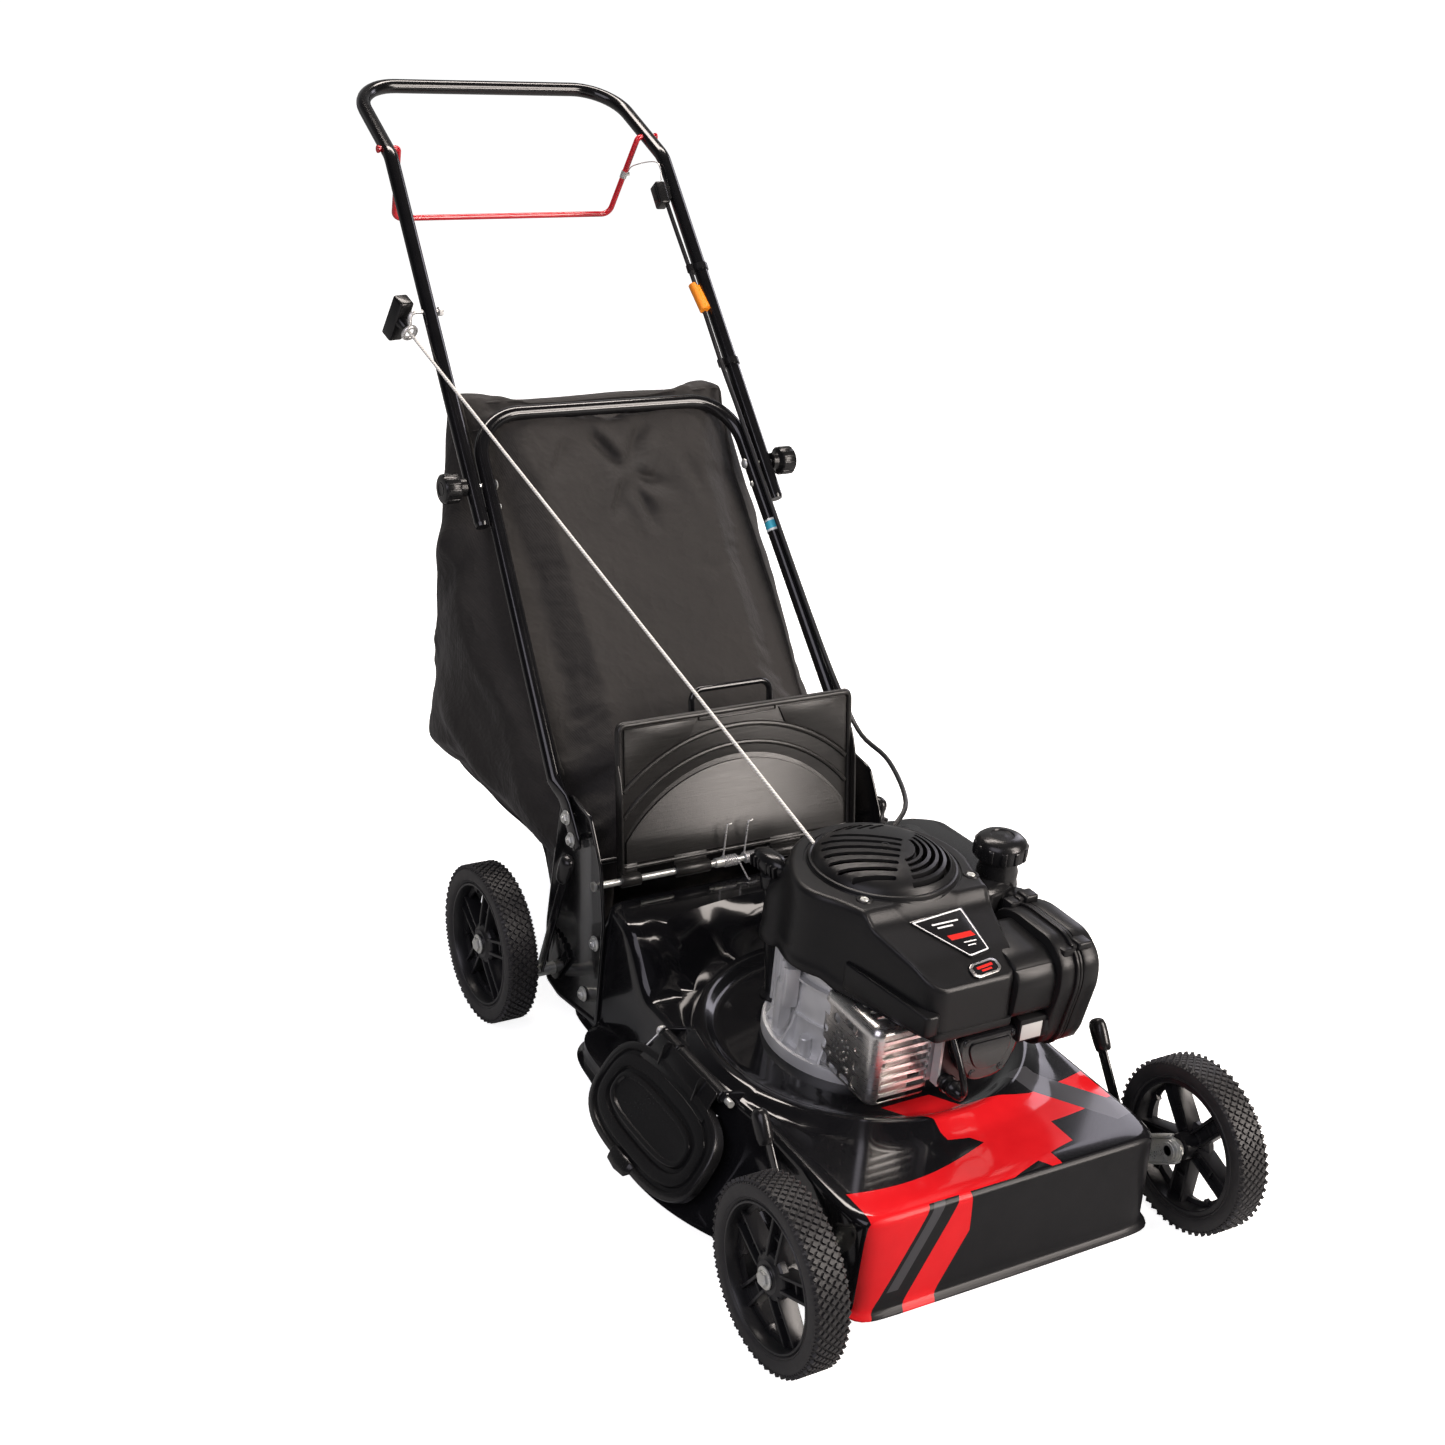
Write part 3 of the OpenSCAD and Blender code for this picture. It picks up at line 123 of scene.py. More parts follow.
class Finish:
    def __init__(self, name, colour=(0.5, 0.5, 0.5), rough=0.5, metal=0.0, **fixed):
        self.material = bpy.data.materials.new(name)
        self.material.use_nodes = True
        self.tree = self.material.node_tree
        self.shader = self.tree.nodes["Principled BSDF"]
        self.feed("Base Color", (*colour, 1))
        self.feed("Roughness", rough)
        self.feed("Metallic", metal)
        for key, value in fixed.items():
            self.feed({"coat": "Coat Weight", "coatRough": "Coat Roughness", "sheen": "Sheen Weight",
                       "sheenRough": "Sheen Roughness", "specular": "Specular IOR Level"}[key], value)
        self.place = self.add("ShaderNodeTexCoord", out="Object")

    def add(self, kind, settings=None, values=None, out=0):
        node = self.tree.nodes.new(kind)
        for key, value in (settings or {}).items():
            setattr(node, key, value)
        for key, value in (values or {}).items():
            if isinstance(value, Wire):
                self.tree.links.new(value.socket, node.inputs[key])
            else:
                node.inputs[key].default_value = value
        return Wire(self, node.outputs[out])

    def feed(self, name, value):
        if isinstance(value, Wire):
            self.tree.links.new(value.socket, self.shader.inputs[name])
        else:
            self.shader.inputs[name].default_value = value

    def noise(self, scale, detail=3.0, stretch=None):
        place = self.place
        if stretch:
            place = self.add("ShaderNodeMapping", None, {0: place, 3: stretch})
        return self.add("ShaderNodeTexNoise", None, {"Vector": place, "Scale": scale, "Detail": detail})

    def cells(self, scale):
        return self.add("ShaderNodeTexVoronoi", {"feature": "F1"}, {"Vector": self.place, "Scale": scale})

    def mix(self, share, a, b):
        a, b = (x if isinstance(x, Wire) else (*x, 1) for x in (a, b))
        return self.add("ShaderNodeMix", {"data_type": "RGBA"}, {0: share, 6: a, 7: b}, 2)

    def xyz(self):  # millimetres round the middle of the wheelbase
        node = self.tree.nodes.new("ShaderNodeSeparateXYZ")
        self.tree.links.new(self.place.socket, node.inputs[0])
        x, y, z = (Wire(self, node.outputs[i]) for i in range(3))
        return x * 1000.0, (y - midY) * 1000.0, z * 1000.0

    def bump(self, height, strength=0.3, depth=0.001):
        bumped = self.add("ShaderNodeBump", None, {"Strength": strength, "Distance": depth, "Height": height})
        self.feed("Normal", bumped)
        return self


# shapes, all in millimetres
weld = {"turned": 0.001, "wire": 0.0005, "carved": 0.002}  # points closer than this become one
fullTurn = 2 * pi


def boxPart(x, y, z, edge=0.0, steps=2):
    part = bmesh.new()
    spans = [(low, high) if low < high else (high, low) for low, high in (x, y, z)]
    middle = [(low + high) / 2 for low, high in spans]
    size = [high - low for low, high in spans]
    bmesh.ops.create_cube(part, size=1, matrix=Matrix.Translation(middle) @ Matrix.Diagonal(size + [1]))
    return softEdges(part, edge, steps)


def softEdges(part, edge, steps=2, above=30):
    if edge:
        sharp = [e for e in part.edges if len(e.link_faces) == 2 and e.calc_face_angle(0) > radians(above)]
        bmesh.ops.bevel(part, geom=sharp, offset=edge, offset_type="OFFSET", affect="EDGES", segments=steps,
                        profile=0.5, material=-1, clamp_overlap=True)
    return part


def turnPart(outline, steps=48, closed=False, angle=fullTurn):  # outline of (radius, height), turned round Z
    part = bmesh.new()
    ring = [part.verts.new((r, 0, h)) for r, h in outline]
    edges = [part.edges.new(pair) for pair in zip(ring, ring[1:] + (ring[:1] if closed else []))
             if pair[0] is not pair[1]]
    bmesh.ops.spin(part, geom=ring + edges, cent=(0, 0, 0), axis=(0, 0, 1), dvec=(0, 0, 0), angle=angle,
                   steps=steps, use_merge=angle == fullTurn, use_duplicate=False)
    bmesh.ops.remove_doubles(part, verts=part.verts, dist=weld["turned"])
    bmesh.ops.recalc_face_normals(part, faces=part.faces)
    return part


def rodPart(a, b, r, r2=None, steps=24):
    a, b = Vector(a), Vector(b)
    part = bmesh.new()
    bmesh.ops.create_cone(part, cap_ends=True, segments=steps, radius1=r, radius2=r if r2 is None else r2,
                          depth=(b - a).length, matrix=Matrix.Translation((a + b) / 2) @ facing(b - a))
    return part


def platePart(outline, thick, corner=0.0, edge=0.0, steps=3):  # flat outline, raised along Z
    part = bmesh.new()
    face = part.faces.new([part.verts.new((u, v, 0)) for u, v in outline])
    part.normal_update()
    if face.normal.z < 0:
        face.normal_flip()
    if corner:
        bmesh.ops.bevel(part, geom=list(part.verts), offset=corner, offset_type="OFFSET", affect="VERTICES",
                        segments=steps, profile=0.5, material=-1, clamp_overlap=True)
    grown = bmesh.ops.extrude_face_region(part, geom=list(part.faces))["geom"]
    bmesh.ops.translate(part, verts=[g for g in grown if isinstance(g, bmesh.types.BMVert)], vec=(0, 0, thick))
    bmesh.ops.recalc_face_normals(part, faces=part.faces)
    return softEdges(part, edge, 2, 50)


def wirePart(points, r, closed=False, sides=3):  # round wire along points
    curve = bpy.data.curves.new("wire", "CURVE")
    curve.dimensions, curve.bevel_depth, curve.bevel_resolution = "3D", r, sides
    curve.use_fill_caps = not closed
    line = curve.splines.new("POLY")
    line.points.add(len(points) - 1)
    for spot, point in zip(line.points, points):
        spot.co = (*point, 1)
    line.use_cyclic_u = closed
    holder = bpy.data.objects.new("wire", curve)
    mesh = bpy.data.meshes.new_from_object(holder)
    part = bmesh.new()
    part.from_mesh(mesh)
    bmesh.ops.remove_doubles(part, verts=part.verts, dist=weld["wire"])
    bmesh.ops.recalc_face_normals(part, faces=part.faces)
    bpy.data.objects.remove(holder)
    bpy.data.curves.remove(curve)
    bpy.data.meshes.remove(mesh)
    return part


def bentPath(corners, radii, steps=8):  # straight runs joined by arcs
    corners = [Vector(c) for c in corners]
    path = [corners[0]]
    for before, corner, after, r in zip(corners, corners[1:], corners[2:], radii):
        u, v = (before - corner).normalized(), (after - corner).normalized()
        half = u.angle(v) / 2
        middle = corner + (u + v).normalized() * r / sin(half)
        start = corner + u * r / math.tan(half) - middle
        turn = pi - 2 * half
        axis = start.cross(corner + v * r / math.tan(half) - middle)
        for i in range(steps + 1):
            path.append(middle + Matrix.Rotation(turn * i / steps, 3, axis) @ start)
    return path + [corners[-1]]


def softPath(points, steps=5):  # smooth line through points
    points = [Vector(p) for p in points]
    path = []
    for i in range(len(points) - 1):
        a, b, c, d = (points[max(0, min(len(points) - 1, i + k))] for k in (-1, 0, 1, 2))
        for s in range(steps):
            t = s / steps
            path.append(0.5 * (2 * b + (c - a) * t + (2 * a - 5 * b + 4 * c - d) * t * t
                               + (3 * b - a - 3 * c + d) * t ** 3))
    return path + [points[-1]]


def carve(part, cutter):  # the part without the cutter
    holders = []
    for source in (part, cutter):
        mesh = bpy.data.meshes.new("carving")
        source.to_mesh(mesh)
        holder = bpy.data.objects.new("carving", mesh)
        scene.collection.objects.link(holder)
        holders.append(holder)
    tool = holders[0].modifiers.new("cut", "BOOLEAN")
    tool.operation, tool.solver, tool.object = "DIFFERENCE", "EXACT", holders[1]
    tool.use_self = True
    mesh = bpy.data.meshes.new_from_object(holders[0].evaluated_get(bpy.context.evaluated_depsgraph_get()))
    result = bmesh.new()
    result.from_mesh(mesh)
    for holder in holders:
        bpy.data.objects.remove(holder)
    bmesh.ops.remove_doubles(result, verts=result.verts, dist=weld["carved"])
    return result


class Shape:  # gathers the parts of one piece
    def __init__(self, *parts):
        self.mesh = bmesh.new()
        for part in parts:
            self.take(part)

    def take(self, part, *moves):
        for move in moves:
            bmesh.ops.transform(part, matrix=move, verts=part.verts)
        if moves:
            bmesh.ops.recalc_face_normals(part, faces=part.faces)
        mesh = bpy.data.meshes.new("part")
        part.to_mesh(mesh)
        self.mesh.from_mesh(mesh)
        bpy.data.meshes.remove(mesh)
        return self

    # an edge that bends by more than smooth degrees stays sharp
    def make(self, name, body, finish, stands=(), slot=None, smooth=35):
        bmesh.ops.transform(self.mesh, matrix=toMetres, verts=self.mesh.verts)
        for e in self.mesh.edges:
            e.smooth = len(e.link_faces) != 2 or e.calc_face_angle(0) < radians(smooth)
        for f in self.mesh.faces:
            f.smooth = True
        mesh = bpy.data.meshes.new(name)
        self.mesh.to_mesh(mesh)
        self.mesh.free()
        piece = bpy.data.objects.new(name, mesh)
        scene.collection.objects.link(piece)
        mesh.materials.append(finish.material)
        if body:
            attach(piece, body)
        if stands:
            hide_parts(*([stands] if isinstance(stands, str) else stands))
        return piece


def moved(x=0, y=0, z=0):
    return Matrix.Translation((x, y, z))


def turned(degrees, axis):
    return Matrix.Rotation(radians(degrees), 4, axis)


def facing(direction):  # turns Z along a direction
    return Vector(direction).to_track_quat("Z", "Y").to_matrix().to_4x4()


def mirrored(side):  # the moves that put a piece on the right, where side is -1
    return [Matrix.Scale(-1, 4, (1, 0, 0))] if side < 0 else []


# a flat (u, v) outline into the YZ plane, raised along X
sideways = Matrix(((0, 0, 1, 0), (1, 0, 0, 0), (0, 1, 0, 0), (0, 0, 0, 1)))
frontways = Matrix(((1, 0, 0, 0), (0, 0, -1, 0), (0, 1, 0, 0), (0, 0, 0, 1)))  # into the XZ plane, raised along -Y


# finishes
def speckled(name, colour, rough, **more):  # plain base with fine colour and gloss variation
    metal, grain, depth, share = (more.pop(k, v) for k, v in (("metal", 0.0), ("grain", 900), ("depth", 0.0002),
                                                              ("share", 0.12)))
    finish = Finish(name, colour, rough, metal, **more)
    broad, fine = finish.noise(9, 4), finish.noise(grain, 2)
    finish.feed("Base Color", finish.mix(broad, [c * (1 - share) for c in colour],
                                         [c * (1 + 2 * share) for c in colour]))
    finish.feed("Roughness", (broad - 0.5) * 0.12 + (fine - 0.5) * 0.1 + rough)
    return finish.bump(fine, 0.25, depth)


bands = {"frontFrom": -206, "faceFrom": -364, "faceBelow": 160, "red": ((0.58, 0.008, 0.012), (0.70, 0.014, 0.018)),
         "black": ((0.0040, 0.0040, 0.0050), (0.009, 0.009, 0.010)), "grey": (0.05, 0.05, 0.055)}


def makeDeckPaint():
    finish = Finish("deckPaint", (0.006, 0.006, 0.007), 0.1, specular=0.16, coatRough=0.06)
    x, y, z = finish.xyz()
    front, face = y < bands["frontFrom"], (y < bands["faceFrom"]) * (z < bands["faceBelow"])
    # broad sweeping bands over the front, dark grey where they cross
    bend = ((x + 60) * 0.0105).wave()
    first = y + 250 + bend * 24
    second = y + 330 - ((x - 10) * 0.0125).wave() * 26
    bar = x * 0.82 + y * 0.57 + z * 0.1
    topRed = ((first.size() < 26) * (x < 190) * (x > -30)).most((second.size() < 30) * (x > -182) * (x < 96))
    topRed = topRed.most(((bar + 128).size() < 26) * (x < 60))
    topGrey = ((bar + 16).size() < 17) * (first.size() < 60) * (x > 20)
    slash = x * 0.86 - z * 0.5
    faceRed = ((slash + 205).size() < 34).most((slash + 122).size() < 17) * (x < -60)
    faceGrey = ((slash + 160).size() < 6) * (z > 60)
    red = topRed * front * (1 - face) + faceRed * face
    grey = topGrey * front * (1 - face) + faceGrey * face
    dirt = finish.noise(40, 5)
    black = finish.mix(dirt, *bands["black"])
    banded = finish.mix(red, black, finish.mix(dirt, *bands["red"]))
    finish.feed("Base Color", finish.mix(grey, banded, bands["grey"]))
    finish.feed("Roughness", face * 0.26 + (dirt - 0.5) * 0.06 + 0.14)
    finish.feed("Coat Weight", 0.5 - face * 0.4)
    return finish.bump(finish.noise(260, 2) * 0.6 + finish.noise(30, 2) * 0.7, 0.1, 0.0005)


def makeTubePaint():
    finish = Finish("framePaint", (0.006, 0.006, 0.007), 0.16, coat=0.3, coatRough=0.05, specular=0.4)
    broad = finish.noise(25, 4)
    finish.feed("Base Color", finish.mix(broad, (0.004, 0.004, 0.0045), (0.009, 0.009, 0.010)))
    finish.feed("Roughness", (broad - 0.5) * 0.12 + 0.17)
    return finish.bump(finish.noise(150, 2), 0.04, 0.0003)


def makeZinc(name="zincPlate", colour=(0.62, 0.66, 0.7), warm=(0.70, 0.68, 0.58), rough=0.24):
    finish = Finish(name, colour, rough, 0.7)
    flakes = finish.cells(420)
    tint = finish.noise(60, 3)
    finish.feed("Base Color", finish.mix(tint, colour, warm))
    finish.feed("Roughness", flakes * 0.25 + (tint - 0.5) * 0.2 + rough)
    return finish.bump(flakes, 0.15, 0.0002)


def makeCast():
    finish = Finish("castAluminium", (0.55, 0.56, 0.57), 0.34)
    grit, patch = finish.noise(1400, 3), finish.noise(35, 4)
    x, y, _ = finish.xyz()
    paintedShade = (y < -172) * (x > -14)  # painted shade: the front of the block, behind the valve cover, is coloured near-black and made not metallic, as if in shadow
    finish.feed("Base Color", finish.mix(paintedShade, finish.mix(patch, (0.6, 0.61, 0.62), (0.88, 0.88, 0.87)),
                                         (0.012, 0.012, 0.013)))
    finish.feed("Metallic", (1 - paintedShade) * 0.55)
    finish.feed("Roughness", (patch - 0.5) * 0.3 + (grit - 0.5) * 0.15 + 0.42)
    return finish.bump(grit + patch * 2, 0.35, 0.0006)


def makeGuardSteel():
    finish = Finish("guardSteel", (0.6, 0.6, 0.6), 0.3, 1.0)
    brushed = finish.noise(60, 3, (1, 1, 22))
    patch = finish.noise(22, 3)
    finish.feed("Base Color", finish.mix(patch, (0.7, 0.69, 0.69), (0.9, 0.88, 0.86)))
    finish.feed("Roughness", (brushed - 0.5) * 0.25 + 0.3)
    return finish.bump(brushed, 0.1, 0.0002)


def makeDoorPlastic():  # moulded with long fine streaks
    finish = Finish("bodyPlastic", (0.012, 0.012, 0.013), 0.33, specular=0.5)
    streak = finish.noise(30, 5, (0.5, 9, 26))
    fine = finish.noise(240, 3, (0.25, 1, 9))
    finish.feed("Base Color", finish.mix(streak, (0.007, 0.0068, 0.0066), (0.020, 0.019, 0.0175)))
    finish.feed("Roughness", (streak - 0.5) * 0.2 + (fine - 0.5) * 0.16 + 0.34)
    # the door's half disc is dished and looks a little upwards
    x, y, z = finish.xyz()
    rise = z - 171
    dished = ((x * x + rise * rise) < 190 ** 2) * (x.size() < 156) * (z > 240) * (y < 260) * (y > 205)
    return finish.bump((streak + fine * 0.6) * 0.12 - rise * dished * 0.25, 1.0, 0.001)


def makeRubber():
    finish = Finish("tyreRubber", (0.014, 0.014, 0.015), 0.62)
    dust, fine = finish.noise(70, 4), finish.noise(1500, 2)
    finish.feed("Base Color", finish.mix(dust, (0.009, 0.0095, 0.012), (0.030, 0.028, 0.027)))
    finish.feed("Roughness", (dust - 0.5) * 0.25 + 0.55)
    return finish.bump(fine, 0.25, 0.0003)


def makeTwine():  # laid rope: slanted strands
    finish = Finish("ropeFibre", (0.8, 0.79, 0.75), 0.8)
    strand = finish.add("ShaderNodeTexWave", {"wave_type": "BANDS", "bands_direction": "DIAGONAL"},
                        {"Vector": finish.place, "Scale": 130.0, "Distortion": 0.6, "Detail": 2.0}, "Fac")
    finish.feed("Base Color", finish.mix(strand, (0.62, 0.60, 0.54), (0.92, 0.91, 0.87)))
    finish.feed("Roughness", strand * -0.2 + 0.85)
    return finish.bump(strand, 0.6, 0.0006)


def makeCloth():  # woven polyester, rubbed lighter in patches
    finish = Finish("bagCloth", (0.02, 0.018, 0.017), 0.7, sheen=0.08, sheenRough=0.5, specular=0.3)
    x, y, z = finish.xyz()
    warp = ((x + y * 0.4) * 3.2).wave()
    weft = ((z + y * 0.7) * 3.2).wave()
    weave = warp * 0.5 + weft * 0.5
    fuzz, worn, wide = finish.noise(900, 3), finish.noise(16, 6), finish.noise(4.5, 3)
    shade = worn * 0.5 + wide * 0.5 + (fuzz - 0.5) * 0.3 + weave * 0.08
    finish.feed("Base Color", finish.mix(shade, (0.007, 0.0062, 0.006), (0.034, 0.0305, 0.028)))
    finish.feed("Roughness", weave * 0.06 + (worn - 0.5) * 0.2 + 0.68)
    crumple = (finish.noise(9, 4) - 0.5).size() * -30 + (finish.noise(26, 3) - 0.5).size() * -12
    return finish.bump(weave * 0.3 + fuzz * 0.3 + crumple, 0.45, 0.0009)


def makeFoam():
    finish = Finish("filterFoam", (0.03, 0.03, 0.03), 0.9)
    pores = finish.cells(900)
    finish.feed("Base Color", finish.mix(pores, (0.012, 0.012, 0.013), (0.05, 0.05, 0.05)))
    return finish.bump(pores, 0.8, 0.001)


deckPaint, tubePaint = makeDeckPaint(), makeTubePaint()
zinc, cast, guardSteel = makeZinc(), makeCast(), makeGuardSteel()
bladeSteel = speckled("bladeSteel", (0.05, 0.05, 0.055), 0.42, metal=0.6, grain=300, depth=0.0004)
brightWire = makeZinc("brightWire", (0.72, 0.73, 0.74), (0.78, 0.76, 0.72), 0.16)
enginePlastic = speckled("enginePlastic", (0.009, 0.009, 0.0095), 0.34, grain=1100, depth=0.0004, specular=0.27)
smoothPlastic = speckled("smoothPlastic", (0.009, 0.009, 0.0095), 0.24, grain=500, depth=0.0001, specular=0.4)
glossCover = speckled("glossCover", (0.007, 0.007, 0.008), 0.13, specular=0.45)
hubPlastic = speckled("hubPlastic", (0.010, 0.010, 0.011), 0.34, grain=700, depth=0.0002, specular=0.4)
bodyPlastic, rubber, cloth, foam = makeDoorPlastic(), makeRubber(), makeCloth(), makeFoam()
sheath = speckled("cableSheath", (0.012, 0.012, 0.013), 0.38, grain=700, depth=0.0002)
twine = makeTwine()
bailPaint = speckled("bailPaint", (0.55, 0.010, 0.020), 0.2, coat=0.4, coatRough=0.05)
ceramic = speckled("ceramic", (0.8, 0.8, 0.77), 0.2)
orangeSleeve = speckled("orangeSleeve", (0.85, 0.25, 0.01), 0.4)
blueTape = speckled("blueTape", (0.05, 0.45, 0.62), 0.35)
paleTape = speckled("paleTape", (0.75, 0.8, 0.8), 0.4)
paleFilm = speckled("paleFilm", (0.45, 0.45, 0.44), 0.35)
redFilm = speckled("redFilm", (0.62, 0.02, 0.015), 0.25)
whiteFilm = speckled("whiteFilm", (0.8, 0.8, 0.8), 0.3)
blackFilm = speckled("blackFilm", (0.01, 0.01, 0.011), 0.2, coat=0.3)
print("finishes made")


def setStage():
    finish = Finish("floorPaper", (0.5, 0.5, 0.5), 0.9, specular=0.0)
    rays = finish.tree.nodes.new("ShaderNodeLightPath")
    seen, bounced = Wire(finish, rays.outputs["Is Camera Ray"]), Wire(finish, rays.outputs["Is Glossy Ray"])
    paper = finish.mix(finish.noise(3, 3), [look["floor"] * 0.985] * 3, [look["floor"]] * 3)
    finish.feed("Base Color", finish.mix(seen, [look["floorDim"]] * 3, paper))
    finish.feed("Emission Color", finish.mix(seen + bounced * 0.1, (0, 0, 0), [look["floorGlow"]] * 3))
    finish.feed("Emission Strength", 1.0)
    part = bmesh.new()
    bmesh.ops.create_grid(part, x_segments=2, y_segments=2, size=40)
    mesh = bpy.data.meshes.new("floor")
    part.to_mesh(mesh)
    mesh.materials.append(finish.material)
    floor = bpy.data.objects.new("floor", mesh)
    scene.collection.objects.link(floor)
    # white backdrop ahead, a dimmer room behind and above
    world = bpy.data.worlds.new("studio")
    world.use_nodes = True
    scene.world = world
    room = Finish.__new__(Finish)
    room.tree = world.node_tree
    room.place = room.add("ShaderNodeTexCoord", out="Generated")
    paths = room.tree.nodes.new("ShaderNodeLightPath")
    camera, glossy, clear = (Wire(room, paths.outputs[f"Is {ray} Ray"]) for ray in ("Camera", "Glossy", "Transmission"))
    split = room.tree.nodes.new("ShaderNodeSeparateXYZ")
    room.tree.links.new(room.place.socket, split.inputs[0])
    x, y, z = (Wire(room, split.outputs[i]) for i in range(3))
    ahead = (y * 1.3 + x * 0.5 - z * 0.8 + 0.1).most(0.0).least(1.0)
    backdrop = ahead * ahead * (1 - look["far"]) + look["far"]
    lit = camera.most(clear)
    shown = lit + (1 - lit) * (glossy * backdrop * look["backdrop"] + (1 - glossy) * look["ambient"])
    ground = world.node_tree.nodes["Background"]
    room.tree.links.new(shown.socket, ground.inputs["Strength"])
    ground.inputs["Color"].default_value = (1, 1, 1, 1)
    scene.view_settings.view_transform = "Standard"


setCamera()
setLights()
setStage()


def ease(t):
    t = min(1.0, max(0.0, t))
    return t * t * (3 - 2 * t)


def loopPart(places, steps, centre=(0, 0), capped=(False, False)):
    # rings grown outwards from a small circle: each place turns an angle into a radius and a height
    part = bmesh.new()
    bmesh.ops.create_circle(part, cap_ends=False, radius=1, segments=steps)
    verts, edges = list(part.verts), list(part.edges)
    angles = {v: atan2(v.co.y, v.co.x) for v in verts}
    for i, place in enumerate(places):
        if i:
            grown = bmesh.ops.extrude_edge_only(part, edges=edges)["geom"]
            verts = [g for g in grown if isinstance(g, bmesh.types.BMVert)]
            angles = {v: atan2(v.co.y - centre[1], v.co.x - centre[0]) for v in verts}
            edges = [g for g in grown if isinstance(g, bmesh.types.BMEdge) and g.verts[0] in angles
                     and g.verts[1] in angles]
        for v in verts:
            a = angles[v]
            r, z = place(a)
            v.co = (centre[0] + r * cos(a), centre[1] + r * sin(a), z)
        if i == 0 and capped[0]:
            bmesh.ops.contextual_create(part, geom=edges)
    if capped[1]:
        bmesh.ops.contextual_create(part, geom=edges)
    bmesh.ops.recalc_face_normals(part, faces=part.faces)
    return part


def loftPart(rings, steps=20):  # rings of (middle, one half axis, the other half axis), closed at both ends
    part = bmesh.new()
    bmesh.ops.create_circle(part, cap_ends=False, radius=1, segments=steps)
    edges = list(part.edges)
    turns = {v: atan2(v.co.y, v.co.x) for v in part.verts}
    for i, (middle, u, v2) in enumerate(rings):
        if i:
            grown = bmesh.ops.extrude_edge_only(part, edges=edges)["geom"]
            fresh = [g for g in grown if isinstance(g, bmesh.types.BMVert)]
            spots = {}
            for v in fresh:
                near = next(o for e in v.link_edges for o in [e.other_vert(v)] if o in turns)
                spots[v] = turns[near]
            turns = spots
            edges = [g for g in grown if isinstance(g, bmesh.types.BMEdge) and g.verts[0] in spots
                     and g.verts[1] in spots]
        for v, a in turns.items():
            v.co = Vector(middle) + Vector(u) * cos(a) + Vector(v2) * sin(a)
        if i == 0:
            bmesh.ops.contextual_create(part, geom=edges)
    bmesh.ops.contextual_create(part, geom=edges)
    bmesh.ops.recalc_face_normals(part, faces=part.faces)
    return part


def hexPart(middle, axis, r, h, flange=0.0):  # hexagonal head with a chamfer, and a round flange under it
    shape = Shape(turnPart([(0, 0), (r * 0.86, 0), (r, 1), (r, h - 1), (r * 0.86, h), (0, h)], 6))
    if flange:
        shape.take(turnPart([(0, -0.3), (flange, -0.3), (flange, 0.9), (flange * 0.9, 1.6), (0, 1.8)], 28))
    bmesh.ops.transform(shape.mesh, matrix=Matrix.Translation(middle) @ facing(axis), verts=shape.mesh.verts)
    return shape.mesh


# deck
deck = {"rays": 288, "wall": 2.5, "platform": 150, "roof": 215, "rim": 35, "shoulder": 200, "house": 282, "half": 198,
        "front": 306, "back": 274, "crank": -70, "power": 18, "ease": 22, "riseFrom": 104, "riseOver": 50, "bend": 9,
        "sideFoot": 66,
        "well": ((48, 0), (110, 0), (158, 0), (166, 0.2), (171, 2.6), (176, 6.2), (181, 8.4), (186, 9), (190, 8.2)),
        "wellRim": 190,
        "chute": ((-300, -186), (-134, 18), (50, 124)), "outlet": ((-160, 160), (186, 320), (62, 203)),
        "ears": (-126, 10), "mountBolts": (100, (45, 135, 225, 315))}


def deckReach(angle, round_, half, front, back, power=None, soft=None):
    power, soft = power or deck["power"], soft or deck["ease"]
    dx, dy = abs(cos(angle)), sin(angle)
    box = ((dx / half) ** power + (abs(dy) / (back if dy > 0 else front)) ** power) ** (-1 / power)
    h = min(1, max(0, 0.5 + 0.5 * (round_ - box) / soft))
    return box + (round_ - box) * h + soft * h * (1 - h)


def roofAt(angle, r):
    x, y = r * cos(angle), deck["crank"] + r * sin(angle)
    left = ease((-x - 60) / 110)
    rise = (y - deck["riseFrom"] + 34 * left) / (deck["riseOver"] + 24 * left)
    return deck["platform"] + (deck["roof"] - deck["platform"]) * ease(rise)


def rearAt(z):  # how far back the rear wall stands at a height
    return 204 + 55 * min(1, (deck["roof"] - z) / 146) + 70


def topReach(angle, out=0.0, widen=0.0):  # edge of the deck's top, and rings a little outside it
    d = deck
    return deckReach(angle, d["shoulder"] + widen, d["half"] - 9 + out, d["front"] - 15 + out, d["back"] - 9 + out)


